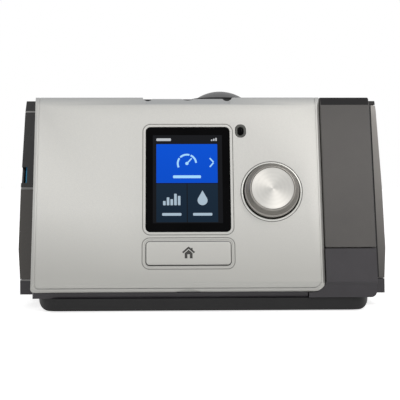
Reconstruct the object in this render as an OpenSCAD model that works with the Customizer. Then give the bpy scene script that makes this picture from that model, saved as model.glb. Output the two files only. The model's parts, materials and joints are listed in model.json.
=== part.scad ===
// Bilevel positive airway pressure machine with its side cover fitted, in millimetres.
// X runs to the right seen from the front, Y runs to the back, Z runs up from the table.
// The origin is on the table, in the middle of the footprint.

/* [Overall] */
// Width over the two flanks
overall_w = 207; // [196:1:216]
// Depth from the front edge to the end of the air outlet
overall_d = 150; // [140:1:165]
// Height of the flat top above the table
case_top = 116; // [112:1:126]
// Lean of the front face from upright, in degrees
lean = 15; // [12:0.5:18]
// Wall of the mouldings
wall = 2.2; // [1.6:0.1:2.6]
// Gap where two mouldings meet
seam = 0.4; // [0.3:0.05:0.6]

/* [Front module] */
// Width of each ear that shows beside the front module
ear_w = 11.2; // [8:0.1:12]
// Thickness of the front module, square to its face
module_t = 29; // [26:0.5:32]
// Height of the crease where the face rolls under
crease_z = 16; // [14:0.5:18]
// Height of the lower edge of the front module
module_z = 10.6; // [10:0.1:12]
// How far the roll under the crease goes back
roll_d = 2.6; // [1.5:0.1:3.5]
// Rise of the chamfer along the top edge
top_chamfer_h = 4.6; // [3:0.1:6]
// Run of the chamfer along the top edge
top_chamfer_d = 3.4; // [2:0.1:5]
// Width of the dark panel on the right of the front, with its seam
panel_w = 27.9; // [24:0.1:34]
// Depth of the silver rim behind the face
rim_d = 7; // [5:0.5:8]
// Small chamfer down the sides of the face
side_chamfer = 1.4; // [0.8:0.1:2.5]
// Radius of the lower right corner of the front module
corner_r = 6.5; // [4:0.5:9]
// Height of the seam between the side cover and the humidifier base
deck_z = 33.6; // [31:0.2:36]

/* [Display] */
// Width of the display window
window_w = 45.7; // [42:0.1:50]
// Height of the display window along the face
window_h = 58.7; // [54:0.1:62]
// Middle of the display window across the machine
window_x = -8.5; // [-12:0.1:-5]
// Lower edge of the display window, along the face from the crease
window_v = 27.5; // [27:0.1:30]
// Corner radius of the display window
window_r = 2.5; // [1:0.1:4]
// Thickness of the display lens
lens_t = 1.5; // [1:0.1:2]
// Width of the liquid crystal panel
lcd_w = 42.7; // [40:0.1:44]
// Height of the liquid crystal panel
lcd_h = 54; // [50:0.1:55]
// Thickness of the liquid crystal panel
lcd_t = 3.4; // [2:0.1:4]

/* [Dial] */
// Middle of the dial across the machine
dial_x = 36.8; // [35:0.1:40]
// Middle of the dial along the face from the crease
dial_v = 49.7; // [45:0.1:55]
// Diameter of the dial
dial_dia = 29.8; // [26:0.1:31]
// How far the dial stands out of the face
dial_proud = 7.5; // [5:0.1:9]
// Diameter of the metal disc on the dial
disc_dia = 23.2; // [18:0.1:25]
// Outer diameter of the silver ring round the dial
ring_dia = 33.6; // [33:0.1:38]
// Diameter of the dial spindle
spindle_dia = 6; // [5:0.1:7]
// Travel of the dial when it is pressed
dial_travel = 0.5; // [0.3:0.1:0.8]

/* [Buttons] */
// Width of the home button
home_w = 45.2; // [40:0.1:48]
// Height of the home button along the face
home_h = 12.6; // [10:0.1:13]
// Lower edge of the home button, along the face from the crease
home_v = 9.4; // [9:0.1:11]
// How far the home button stands out of the face
home_proud = 1; // [0.5:0.1:2]
// Travel of the home button
home_travel = 0.5; // [0.3:0.1:0.8]
// Diameter of the start button
start_dia = 29; // [26:0.5:30]
// Middle of the start button across the machine
start_x = 10.3; // [8:0.1:12]
// Height of the dome of the start button above the top
start_dome = 4.9; // [3:0.1:6]
// Travel of the start button
start_travel = 0.8; // [0.5:0.1:1.2]

/* [Doors] */
// Height of the strip between the two doors
door_split_z = 65.7; // [62:0.1:70]
// Height of the upper edge of the card cover
door_top_z = 109.8; // [106:0.1:111]
// Thickness of the doors
door_t = 1.1; // [1:0.1:1.4]
// Distance of the door hinge behind the middle of the machine
hinge_y = 16; // [15:0.5:20]
// Diameter of the hinge pins
pin_dia = 2; // [1.8:0.1:2.2]
// Width of the filter cover
filter_w = 52; // [40:1:54]
// Height of the filter cover
filter_h = 56; // [44:1:58]

/* [Rear] */
// Outer diameter of the air outlet
outlet_dia = 22; // [20:0.1:24]
// Free length of the air outlet
outlet_l = 22; // [18:1:24]
// How far the air outlet stands behind the back
outlet_proud = 7; // [4:1:10]
// Middle of the air outlet across the machine
outlet_x = 0; // [-4:1:2]
// Middle of the air outlet above the table
outlet_z = 90; // [86:1:92]
// Diameter of the bore of the power inlet
power_bore = 7.6; // [6:0.1:9]

/* [Base] */
// Height of the underside of the lower case
base_z = 7.1; // [6:0.1:8]
// Height of the seam between the upper and the lower case
split_z = 15; // [14:0.5:18]
// How far the foot plinth stands in from each side of the front module
plinth_inset = 2.8; // [2.5:0.1:12]
// How far the rubber feet stand below the plinth
foot_proud = 0.5; // [0.4:0.1:1.2]
// Diameter of a rubber foot
foot_dia = 14; // [10:1:18]

/* [Blower] */
// Outer diameter of the impeller
impeller_dia = 48; // [40:1:50]
// Number of blades of the impeller
blades = 11; // [7:1:15]
// Height of the underside of the blower
blower_z = 42; // [40:1:43]

/* [Hidden] */
$fn = 64;

// Colours as the photograph shows them
silver = "#d2d1cc";
dark_grey = "#3c3b3d";
warm_grey = "#67656a";
flank_grey = "#8b8987";
near_black = "#26262a";
board_green = "#2c5a3c";
steel = "#b8babd";
white_plastic = "#d9dad8";
rubber_black = "#1e1e20";

// The large sizes that follow from the ones above
front_y = -overall_d / 2;
back_y = overall_d / 2 - outlet_proud;
half_w = overall_w / 2;
pocket_x = -half_w + 8.5;
pocket_y = hinge_y + 3.6;
module_half = half_w - ear_w;
// Gap under the base panel, and the round of that panel's lower corner
base_gap = 0.2;
base_corner_r = 3;
module_w = 2 * module_half;
fascia_right = module_half - panel_w;
base_x0 = fascia_right - corner_r - 2;
plinth_w = module_w - 2 * plinth_inset;
collar_half = module_half - 0.6;
panel_left = fascia_right + seam;
bay_x = 22;
deck_side = 14.3;
bay_right = module_half;
flank_x = bay_right + 2.2;
roof_z = case_top - wall;
start_y = front_y + overall_d / 3;
rear_r = 22;
rear_foot_r = 6;
plan_r = 14;
eps = 0.02;
far = 400;

// Front face at a height, and the back of the front module at a height
function face_y(z) = front_y + (z - crease_z) * tan(lean);
function ear_y(z) = face_y(z) + module_t / cos(lean);

// Half width of the case at a height, less an inset: the flanks bulge a little
function flank_points(i) = [
    [half_w - 2.6 - i, case_top + 1], [half_w - 1.9 - i, door_top_z], [half_w - 0.6 - i, door_split_z],
    [half_w - 0.4 - i, deck_z - 2], [half_w - 1.7 - i, split_z + 1], [half_w - 2.1 - i, base_z - 1]];

// A rounded rectangle by its corners, made of squares and circles
module rounded(x0, y0, x1, y1, r) {
    translate([x0 + r, y0]) square([x1 - x0 - 2 * r, y1 - y0]);
    translate([x0, y0 + r]) square([x1 - x0, y1 - y0 - 2 * r]);
    for (x = [x0 + r, x1 - r], y = [y0 + r, y1 - r]) translate([x, y]) circle(r);
}

// A box by two corners
module block(a, b) translate(a) cube(b - a);

// A side profile of Y and Z, swept across from x0 to x1
module across(x0, x1) translate([x0, 0, 0]) rotate([90, 0, 90]) linear_extrude(x1 - x0) children();

// A front outline of X and Z, swept from front to back
module along(y0, y1) translate([0, y1, 0]) rotate([90, 0, 0]) linear_extrude(y1 - y0) children();

// The frame of the leaning face: X across, Y square into the face, Z up along the face
module on_face() translate([0, front_y, crease_z]) rotate([-lean, 0, 0]) children();

// An outline on the face, from depth d0 to depth d1
module face_plate(d0, d1) on_face() along(d0, d1) children();

// Side profile of the front module, less an inset
module module_profile(i) {
    roll = [for (a = [0:15:90]) [front_y + i + (roll_d) * (1 - cos(a)),
        crease_z + (module_z + i - crease_z) * sin(a)]];
    top = [[face_y(case_top - top_chamfer_h) + i, case_top - top_chamfer_h],
        [face_y(case_top - top_chamfer_h) + i + top_chamfer_d, case_top - i],
        [ear_y(case_top), case_top - i], [ear_y(module_z), module_z + i]];
    polygon(concat([for (k = [6:-1:0]) roll[k]], top));
}

// Front outline of the front module, less an inset, with its round lower corners
module module_outline(i, x0, x1) {
    r = corner_r - i;
    s = 2;
    intersection() {
        union() {
            translate([x0 + i, module_z + i + r]) square([x1 - x0 - 2 * i, far]);
            translate([x0 + i + s, module_z + i]) square([x1 - x0 - 2 * i - s - r, far]);
            translate([x0 + i + s, module_z + i + s]) circle(s);
            translate([x0 + i, module_z + i + s]) square([s + 1, corner_r]);
            translate([x1 - i - r, module_z + i + r]) circle(r);
        }
        translate([x0, 0]) square([x1 - x0, case_top]);
    }
}

// Solid of the front module between two sides, less an inset
module module_solid(i, x0, x1) intersection() {
    across(x0 + i, x1 - i) module_profile(i);
    along(front_y - 1, 0) module_outline(i, x0, x1);
}

// Side profile of the case behind the front module, less an inset
module case_profile(i) intersection() {
    polygon([[ear_y(0) + i, 0], [ear_y(far) + i, far], [far, far], [far, 0]]);
    union() {
        translate([-far, base_z + i]) square([far + back_y - rear_r, case_top - base_z - 2 * i]);
        translate([0, base_z + rear_foot_r]) square([back_y - i, case_top - base_z - rear_foot_r - rear_r]);
        translate([0, base_z + i]) square([back_y - rear_foot_r, rear_foot_r]);
        translate([back_y - rear_r, case_top - rear_r]) circle(rear_r - i);
        translate([back_y - rear_foot_r, base_z + rear_foot_r]) circle(rear_foot_r - i);
    }
}

// Solid of the case behind the front module, less an inset
module case_solid(i) intersection() {
    across(-half_w, half_w) case_profile(i);
    along(-far, far) polygon(concat(flank_points(i),
        [for (k = [5:-1:0]) [-flank_points(i)[k][0], flank_points(i)[k][1]]]));
    linear_extrude(far) rounded(-half_w + i, -far, half_w - i, back_y - i, plan_r - i);
}

// Windows cut in the fascia
module window_outline(g) translate([window_x, window_v])
    rounded(-window_w / 2 - g, -g, window_w / 2 + g, window_h + g, window_r + g);
module home_outline(g) translate([window_x, home_v])
    rounded(-home_w / 2 - g, -g, home_w / 2 + g, home_h + g, 1.8 + g);
sensor_x = 20.5;
sensor_v = 84;
module sensor_outline(g) translate([sensor_x, sensor_v]) rounded(-2.8 - g, -3.6 - g, 2.8 + g, 3.6 + g, 2.7 + g);
line_w = 0.4;
line_depth = 0.35;
window_border = 1.9;
home_border = 2.4;
rim_line = 2.1;
notch_w = 13;
notch_h = 1.8;
notch_r = (pow(notch_w / 2, 2) + pow(notch_h, 2)) / (2 * notch_h);
home_well = 1.2;
knob_gap = 0.5;
run_gap = 0.05;
button_gap = 0.3;
board_d = 15;
board_t = 1.6;
boss_x = [-module_half + 8.3, fascia_right - 6.4];
boss_v = [8, 84];
boss_r = 3;

// Silver fascia: front wall, rim and the bosses that carry the main board
module front_fascia() color(silver) {
    difference() {
        intersection() {
            module_solid(0, -module_half, fascia_right);
            across(-half_w, half_w) polygon([[face_y(0) + rim_d - far, 0], [face_y(0) + rim_d, 0],
                [face_y(far) + rim_d, far], [face_y(far) + rim_d - far, far]]);
        }
        module_solid(wall, -module_half, fascia_right);
        for (x = [-module_half, fascia_right])
            on_face() translate([x, 0, 0]) rotate([0, 0, 45])
                cube([side_chamfer * sqrt(2), side_chamfer * sqrt(2), far], center = true);
        face_plate(-1, 5) window_outline(seam / 2);
        face_plate(-1, 5) home_outline(button_gap);
        face_plate(-1, 5) sensor_outline(seam / 2);
        face_plate(-1, 5) translate([dial_x, dial_v]) circle(dial_dia / 2 + knob_gap);
        face_plate(-1, 0.6) translate([dial_x, dial_v]) circle(ring_dia / 2);
        face_plate(-1, line_depth) difference() {
            window_outline(window_border);
            window_outline(window_border - line_w);
        }
        face_plate(-1, line_depth) difference() {
            home_outline(home_border);
            home_outline(home_border - line_w);
        }
        face_plate(-1, line_depth) home_outline(home_well);
        rim_groove();
        along(front_y - 1, front_y + 4.5) translate([window_x, module_z + notch_h - notch_r]) circle(notch_r);
        top_recess();
    }
    face_plate(wall / 2, board_d) for (x = boss_x, v = boss_v) translate([x, v]) difference() {
        circle(boss_r);
        circle(screw_dia / 2 - 0.2);
    }
}

// Shallow recess in the top edge with a finger dip
recess_w = 46.6;
recess_z = 0.7;
recess_in = 0.9;
dip_r = 6.6;
scoop_r = 3;
module rim_groove() difference() {
    along(front_y - 1, far) difference() {
        module_outline(rim_line, -module_half, fascia_right);
        module_outline(rim_line + line_w, -module_half, fascia_right);
    }
    module_solid(line_depth, -far, far);
}
module top_recess() {
    chamfer_z = case_top - top_chamfer_h;
    across(window_x - recess_w / 2, window_x + recess_w / 2) polygon([
        [face_y(chamfer_z + 1) - 2, chamfer_z + 1], [face_y(chamfer_z + 1) + 0.74 + recess_in, chamfer_z + 1],
        [face_y(chamfer_z) + top_chamfer_d + recess_in, case_top - recess_z], [0, case_top - recess_z], [0, far], [front_y, far]]);
    along(front_y, face_y(case_top) + rim_d + 1) {
        translate([window_x, case_top + dip_r - recess_z - 0.9]) circle(dip_r);
        for (end = [-1, 1]) translate([window_x + end * (recess_w / 2 - 1.3), case_top + scoop_r - recess_z - 1.3]) circle(scoop_r);
    }
}

// Dark panel below the side cover, part of the humidifier base
// It steps in under the crease, and runs under the fascia's lower right corner
module base_profile(i) polygon([[front_y + i, crease_z], [front_y + i + 1.6, crease_z - 1.8],
    [front_y + roll_d + 0.6 + i, base_z + base_gap + i], [ear_y(base_z) - i, base_z + base_gap + i],
    [ear_y(base_z) - i, crease_z], [ear_y(crease_z) - i, crease_z], [ear_y(deck_z) - i, deck_z], [face_y(deck_z) + i, deck_z]]);
module base_outline(i) difference() {
    r = base_corner_r - min(i, 1);
    union() {
        translate([base_x0 + i, base_z + base_gap + i]) square([module_half - base_x0 - 2 * i - r, far]);
        translate([base_x0 + i, base_z + base_gap + i + r]) square([module_half - base_x0 - 2 * i, far]);
        translate([module_half - i - r, base_z + base_gap + i + r]) circle(r);
    }
    fascia_corner(seam + i);
    translate([-far, module_z + corner_r]) square([far + panel_left + i, far]);
}
// The fascia's lower right corner, grown by a gap
module fascia_corner(gap) {
    r = corner_r + gap;
    translate([-far, module_z - gap + r]) square([far + fascia_right + gap, far]);
    translate([-far, module_z - gap]) square([far + fascia_right + gap - r, far]);
    translate([fascia_right + gap - r, module_z - gap + r]) circle(r);
}
module base_solid(i) intersection() {
    across(base_x0 + i, module_half - i) base_profile(i);
    along(front_y - 1, 0) base_outline(i);
    block([-half_w, -far, 0], [half_w, far, deck_z - max(seam / 2, i)]);
}
module base_front_panel() color(warm_grey) difference() {
    base_solid(0);
    base_solid(wall);
    across(panel_left + wall, module_half - wall)
        polygon([[ear_y(0) - 3, module_z + wall], [ear_y(far) - 3, far], [far, far], [far, module_z + wall]]);
}

// Lower case: tray, skirt and the posts for the case screws
screw_dia = 3;
screw_head = 5.6;
screw_seat = 2;
post_h = 7;
floor_t = 2.4;
post_r = 4.5;
case_sites = [[pocket_x + 3, front_y + 45], [pocket_x + 3, back_y - 10.5], [12, back_y - 10.5]];
deck_sites = [[bay_right - deck_side, front_y + 45], [bay_right - deck_side, back_y - 18], [bay_x + 9, front_y + 45]];
skirt_half = module_half - 0.4;
module lower_case() color(dark_grey) difference() {
    union() {
        difference() {
            intersection() {
                case_solid(0);
                block([-far, -far, 0], [far, far, split_z - seam / 2]);
            }
            intersection() {
                case_solid(wall);
                block([-far, -far, base_z + floor_t], [far, far, far]);
            }
        }
        intersection() {
            translate([0, 0, base_z]) linear_extrude(module_z - base_z - seam / 2)
                difference() {
                    rounded(-skirt_half, front_y + roll_d + 0.6, skirt_half, 0, 3);
                    translate([base_x0 - seam, front_y]) square([far, ear_y(base_z) - front_y + seam]);
                }
            across(-half_w, half_w) polygon([[front_y + roll_d + 0.6, far], [front_y + roll_d + 0.6, module_z],
                [front_y + roll_d + 3, base_z], [ear_y(base_z) + wall, base_z], [ear_y(far) + wall, far]]);
        }
        for (p = concat(case_sites, deck_sites)) translate([p[0], p[1], base_z])
            cylinder(r = post_r, h = split_z - base_z - seam / 2);
    }
    for (p = concat(case_sites, deck_sites)) translate([p[0], p[1], 0]) {
        cylinder(d = screw_dia + 0.4, h = far / 10);
        cylinder(d = screw_head + 0.4, h = base_z + screw_seat);
    }
}

// Foot plinth under the lower case
plinth_y0 = front_y + 4.5;
plinth_y1 = back_y - 10;
plinth_r = 6.5;
module plinth_outline(i) intersection() {
    rounded(-plinth_w / 2 + i, foot_proud + i, plinth_w / 2 - i, base_z + 12, plinth_r - i);
    translate([-half_w, 0]) square([2 * half_w, base_z]);
}
foot_x = plinth_w / 2 - foot_dia / 2 - 11;
foot_y = [plinth_y0 + 14, plinth_y1 - 14];
foot_seat = foot_proud + 1.4;
module foot_plinth() color(near_black) difference() {
    intersection() {
        along(plinth_y0, plinth_y1) plinth_outline(0);
        linear_extrude(far) rounded(-plinth_w / 2, plinth_y0, plinth_w / 2, plinth_y1, 12);
    }
    for (x = [-foot_x, foot_x], y = foot_y) translate([x, y, -1]) cylinder(d = foot_dia + 0.4, h = foot_seat + 1);
    for (p = deck_sites) translate([p[0], p[1], -1]) cylinder(d = screw_head + 0.4, h = far / 10);
}

// Four rubber feet in round seats
module rubber_feet() color(rubber_black)
    for (x = [-foot_x, foot_x], y = foot_y) translate([x, y, 0]) {
        translate([0, 0, 0.5]) cylinder(d = foot_dia, h = foot_seat - 0.5);
        cylinder(d1 = foot_dia - 1, d2 = foot_dia, h = 0.5);
    }

// Upper case: collar of the front module, roof, left wall, back and the pocket behind the doors
module door_zone(x1) block([-far, -far, split_z], [x1, pocket_y, door_top_z]);
module roof_hole() translate([start_x, start_y, roof_z - 5]) cylinder(d = start_dia + 2 * button_gap, h = 20);
rear_pocket_x = [-26, 2];
rear_pocket_z = [20, 44];
rear_pocket_y = back_y - 12;
filter_x0 = -half_w + 12.5;
filter_z0 = 36;
filter_depth = 14;
outlet_well = 34;
module upper_case() color(dark_grey) difference() {
    union() {
        difference() {
            union() {
                intersection() {
                    case_solid(0);
                    block([-far, -far, split_z + seam / 2], [far, far, far]);
                }
                intersection() {
                    module_solid(0.6, -module_half, fascia_right + 0.6);
                    across(-half_w, half_w) polygon([[face_y(0) + rim_d + seam, 0], [ear_y(0), 0],
                        [ear_y(far), far], [face_y(far) + rim_d + seam, far]]);
                }
            }
            difference() {
                intersection() {
                    union() {
                        case_solid(wall);
                        module_solid(wall + 0.6, -module_half, fascia_right + 0.6);
                        across(-collar_half + wall, fascia_right - wall) polygon([[ear_y(split_z) - 5, split_z + seam],
                            [ear_y(roof_z) - 5, roof_z], [ear_y(roof_z) + 5, roof_z], [ear_y(split_z) + 5, split_z + seam]]);
                    }
                    block([-far, -far, 0], [far, far, roof_z]);
                }
                door_zone(pocket_x + wall);
                block([rear_pocket_x[0] - wall, rear_pocket_y - wall, rear_pocket_z[0] - wall],
                    [rear_pocket_x[1] + wall, far, rear_pocket_z[1] + wall]);
                translate([outlet_x, outlet_y0 - wall, outlet_z]) rotate([-90, 0, 0]) cylinder(d = outlet_well + 2 * wall, h = 40);
                block([filter_x0 - wall, back_y - filter_depth - wall, filter_z0 - wall],
                    [filter_x0 + filter_w + wall, far, filter_z0 + filter_h + wall]);
            }
        }
        for (p = case_sites) translate([p[0], p[1], split_z + seam / 2]) {
            cylinder(r = post_r, h = post_h);
            if (p[1] > 0) translate([-1.5, 0, 0]) cube([3, back_y - p[1] - wall / 2, post_h]);
        }
    }
    door_zone(pocket_x);
    across(fascia_right + seam / 2, half_w + 1) polygon([[ear_y(0), 0], [ear_y(far), far], [-far, far], [-far, 0]]);
    side_opening();
    roof_hole();
    block([rear_pocket_x[0], rear_pocket_y, rear_pocket_z[0]], [rear_pocket_x[1], far, rear_pocket_z[1]]);
    block([filter_x0, back_y - filter_depth, filter_z0], [filter_x0 + filter_w, far, filter_z0 + filter_h]);
    block([filter_x0 + 5, back_y - filter_depth - wall - 1, filter_z0 + 5],
        [filter_x0 + filter_w - 5, back_y, filter_z0 + filter_h - 5]);
    translate([outlet_x, 0, outlet_z]) rotate([-90, 0, 0]) {
        cylinder(r = duct_r + 0.1, h = far);
        translate([0, 0, outlet_y0]) cylinder(d = outlet_well, h = 40);
    }
    translate([inlet_x, 0, inlet_z]) rotate([-90, 0, 0]) cylinder(d = inlet_dia + 0.2, h = back_y);
    for (p = case_sites) translate([p[0], p[1], 0]) cylinder(d = screw_dia + 0.1, h = split_z + post_h - 1);
    for (z = [split_z + 1, door_split_z + 1])
        translate([hinge_x, hinge_y, z - 1]) cylinder(d = pin_dia + 0.1, h = door_top_z - door_split_z + 1);
    translate([filter_x0 - wall - 1, filter_hinge_y, filter_hinge_z]) rotate([0, 90, 0]) cylinder(d = pin_dia + 0.1, h = filter_w + 2 * wall + 2);
    translate([rear_pocket_x[0] - 2, clip_y, clip_z]) rotate([0, 90, 0]) cylinder(d = pin_dia + 0.1, h = rear_pocket_x[1] - rear_pocket_x[0] + 4);
}

// Opening on the right that the side cover closes
module side_opening() {
    across(bay_right - 0.2, half_w + 1) intersection() {
        case_profile(-1);
        translate([-far, 0]) square([2 * far, roof_z]);
    }
    across(panel_left, bay_right) intersection() {
        union() {
            case_profile(wall);
            polygon([[ear_y(0) - 5, 0], [ear_y(far) - 5, far], [ear_y(far) + 5, far], [ear_y(0) + 5, 0]]);
        }
        translate([-far, 0]) square([2 * far, roof_z]);
    }
}

// Black glossy lens in the display window
module display_lens() color("#0c0d10") face_plate(0.3, 0.3 + lens_t) window_outline(-0.15);

// Liquid crystal panel behind the lens, and the foam gasket that carries it
gasket_t = 1;
module lcd_outline() translate([window_x - lcd_w / 2, window_v + (window_h - lcd_h) / 2]) square([lcd_w, lcd_h]);
lcd_d = 0.3 + lens_t + gasket_t;
module lcd_panel() color("#1b2d55") face_plate(lcd_d, lcd_d + lcd_t) lcd_outline();
module display_gasket() color(rubber_black) {
    face_plate(lcd_d - gasket_t, lcd_d) difference() {
        window_outline(-0.4);
        translate([window_x - 19, window_v + 4.7]) square([38, 49.4]);
    }
    face_plate(lcd_d + lcd_t, board_d) difference() {
        lcd_outline();
        translate([window_x - lcd_w / 2 + 3, window_v + 6]) square([lcd_w - 6, window_h - 12]);
    }
}

// Oval window of the light sensor
module light_sensor_window() color("#15161a") {
    face_plate(0.1, wall) sensor_outline(-0.1);
    face_plate(wall - 0.5, board_d) translate([sensor_x, sensor_v]) circle(2);
}

// Silver ring let in round the dial
module dial_ring() color("#e6e6e4") face_plate(-0.5, 0.6) translate([dial_x, dial_v]) difference() {
    circle(ring_dia / 2 - 0.1);
    circle(dial_dia / 2 + knob_gap);
}

// Dial: knob, its metal disc, and the spindle that it turns on
knob_step = 2.6;
knob_draft = 1.6;
hub_dia = spindle_dia + 5;
spindle_back = board_d - 2.2;
module dial_knob() color("#4a4a4c") on_face() translate([dial_x, 0, dial_v]) rotate([90, 0, 0]) difference() {
    union() {
        translate([0, 0, -1]) cylinder(d = dial_dia, h = knob_step + 1);
        translate([0, 0, knob_step - 0.5]) cylinder(d1 = dial_dia - knob_draft, d2 = disc_dia + 1.2, h = dial_proud - knob_step + 0.5);
    }
    translate([0, 0, -3]) difference() {
        cylinder(d = disc_dia - 2, h = dial_proud);
        cylinder(d = hub_dia, h = dial_proud);
    }
    translate([0, 0, -5]) cylinder(d = spindle_dia + 2 * run_gap, h = dial_proud + 2);
    translate([0, 0, dial_proud - 0.6]) cylinder(d = disc_dia, h = 2);
}
module dial_cap() color("#a9abac") on_face() translate([dial_x, 0, dial_v]) rotate([90, 0, 0])
    translate([0, 0, dial_proud - 0.6]) cylinder(d = disc_dia, h = 0.6);
module dial_plunger() color(steel) on_face() translate([dial_x, 0, dial_v]) rotate([90, 0, 0]) {
    translate([0, 0, -spindle_back]) cylinder(d = spindle_dia, h = spindle_back + dial_proud - 3.2);
    translate([0, 0, -2.6]) cylinder(d = hub_dia, h = 1.3);
}

// Encoder on the main board, with the bush that the spindle slides in
encoder_w = 14;
module dial_encoder() color("#55585c") on_face() translate([dial_x, 0, dial_v]) difference() {
    union() {
        translate([-encoder_w / 2, 7, -encoder_w / 2]) cube([encoder_w, board_d - 7, encoder_w]);
        translate([0, 7, 0]) rotate([90, 0, 0]) cylinder(d = spindle_dia + 4, h = 3);
    }
    translate([0, board_d - 1.4, 0]) rotate([90, 0, 0]) cylinder(d = spindle_dia + 2 * run_gap, h = board_d);
}

// Home button with its flange, and the switch behind it
flange = 1.2;
module home_button() color(silver) {
    face_plate(-home_proud, wall + 0.3) home_outline(0);
    face_plate(wall + 0.3, wall + 1.4) home_outline(flange);
}
module home_switch() color("#3a3a3c") on_face() translate([window_x, 0, home_v + home_h / 2]) {
    translate([-6, wall + 4, -3]) cube([12, board_d - wall - 4, 6]);
    translate([0, wall + 4, 0]) rotate([90, 0, 0]) cylinder(d = 3.4, h = 4 - 1.4 - home_travel - 0.15);
}

// Start button, its ring, and the switch board under it
collar_top = case_top - 0.6;
start_seat = collar_top - wall - 0.3;
module start_button() color("#76777a") translate([start_x, start_y, 0]) {
    sphere_r = (pow(start_dia / 2, 2) + pow(start_dome, 2)) / (2 * start_dome);
    intersection() {
        translate([0, 0, case_top + start_dome - sphere_r]) sphere(sphere_r, $fn = 128);
        translate([0, 0, case_top - 0.4]) cylinder(d = start_dia, h = start_dome + 1);
    }
    translate([0, 0, start_seat - 1.5]) cylinder(d = start_dia, h = case_top - start_seat + 1.5 - 0.3);
    translate([0, 0, start_seat - 1.5]) cylinder(d = start_dia + 3, h = 1.5);
    translate([0, 0, start_seat - 4]) cylinder(d = 6, h = 3);
}
module start_button_ring() color("#2e2e31") translate([start_x, start_y, case_top]) difference() {
    cylinder(d = start_dia + 3.4, h = 0.6);
    translate([0, 0, -1]) cylinder(d = start_dia + 2 * button_gap, h = 3);
}
module start_switch_board() color(board_green) {
    translate([start_x, start_y, start_seat - 4 - start_travel - 0.2 - 4]) {
        translate([-21, -9, -1.2]) cube([42, 14, 1.2]);
        translate([-4, -4, -0.6]) cube([8, 8, 4.6]);
        for (x = [-19, 19]) translate([x, -2, -0.6]) cylinder(r = 1.5, h = collar_top - wall - start_seat + 8.8 + start_travel);
    }
}

// Main board on the bosses of the fascia
module main_board() color(board_green) {
    face_plate(board_d, board_d + board_t) difference() {
        translate([-module_half + 4.3, 3]) square([fascia_right + module_half - 8.3, 86]);
        for (x = boss_x, v = boss_v) translate([x, v]) circle(screw_dia / 2);
    }
    face_plate(board_d + board_t / 2, board_d + board_t + 2.4) {
        translate([-60, 30]) square([16, 16]);
        translate([-30, 50]) square([24, 18]);
        translate([10, 20]) square([12, 12]);
        translate([-70, 62]) square([22, 14]);
    }
}

// Loudspeaker on the main board
module speaker() color("#2a2a2c") on_face() translate([-module_half + 30.3, 0, 34]) rotate([-90, 0, 0]) {
    translate([0, 0, wall + 0.5]) cylinder(d = 28, h = 3);
    translate([0, 0, wall + 3]) cylinder(d = 16, h = board_d - wall - 3);
}

// Screws: from below into the cases and the deck, and through the board into its bosses
module case_screws() color(steel) {
    for (p = concat(case_sites, deck_sites)) translate([p[0], p[1], base_z + screw_seat]) {
        translate([0, 0, -2]) cylinder(d = screw_head, h = 2);
        cylinder(d = screw_dia, h = split_z - base_z + 2);
    }
    on_face() for (x = boss_x, v = boss_v) translate([x, board_d + board_t, v]) rotate([90, 0, 0]) {
        cylinder(d = screw_dia - 0.5, h = 6);
        translate([0, 0, -1.6]) cylinder(d = screw_head, h = 1.6);
    }
}

// Doors on the left flank: a skin that wraps the front corner, and a knuckle on the hinge pin
hinge_x = -half_w + 3.7;
knuckle_r = 1.7;
pin_gap = 0.05;
door_inner = pocket_x - 0.4;
module door(z0, z1) {
    difference() {
        intersection() {
            case_solid(0);
            block([-far, -far, z0], [door_inner, hinge_y, z1]);
        }
        intersection() {
            case_solid(door_t);
            block([-far, -far, 0], [door_inner + 1, far, far]);
        }
        translate([hinge_x, hinge_y, 0]) cylinder(r = knuckle_r + 0.01, h = far);
        block([hinge_x - 0.3, hinge_y - 3, 0], [door_inner + 1, hinge_y + 1, far]);
    }
    for (z = [z0, z1 - 8]) translate([0, 0, z]) difference() {
        union() {
            translate([hinge_x, hinge_y, 0]) cylinder(r = knuckle_r, h = 8);
            intersection() {
                translate([0, 0, -z]) case_solid(0);
                block([-far, hinge_y - 4.5, 0], [hinge_x - 0.9, hinge_y, 8]);
            }
        }
        translate([hinge_x, hinge_y, -1]) cylinder(d = pin_dia + 2 * pin_gap, h = 10);
    }
}
card_notch_v = [62.4, 71.8];
module card_cover() color("#1f1f20") difference() {
    door(door_split_z + 0.6, door_top_z - seam);
    on_face() translate([-half_w - 1, module_t - 5, card_notch_v[0]]) cube([4.9, 8, card_notch_v[1] - card_notch_v[0]]);
}
module adapter_cover() color("#4a4845") door(split_z + seam, door_split_z - 0.6);
pin_l = 42;
module door_hinge_pins() color(steel) for (z = [door_split_z - 1 - pin_l, door_top_z - pin_l])
    translate([hinge_x, hinge_y, z]) cylinder(d = pin_dia, h = pin_l);

// Memory card, edge on to the front of the flank, and its socket in the pocket
card_l = 32;
card_h = 24;
card_t = 2.1;
card_v = 61.4;
card_x = -half_w + 2.75;
card_d = module_t + door_t + 2.4;
module memory_card() color("#0f7fa8") face_solid([card_x, card_d, card_v], [card_x + card_t, card_d + card_l, card_v + card_h]);
module face_solid(a, b) on_face() block(a, b);
module card_socket() color("#8f9296") {
    face_solid([card_x + card_t + 0.2, card_d + 5, card_v - 1.4], [pocket_x, card_d + card_l + 2.6, card_v + card_h + 1.4]);
    for (v = [card_v - 1.4, card_v + card_h + 0.2])
        face_solid([card_x + 0.3, card_d + 5, v], [card_x + card_t + 0.3, card_d + card_l + 2.6, v + 1.2]);
}

// Connector for an accessory module, behind the lower door
module adapter_connector() color("#5a5c60") difference() {
    block([pocket_x - 4, -14, 26], [pocket_x, 4, 40]);
    block([pocket_x - 5, -11, 29], [pocket_x - 1, 1, 37]);
}

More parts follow.
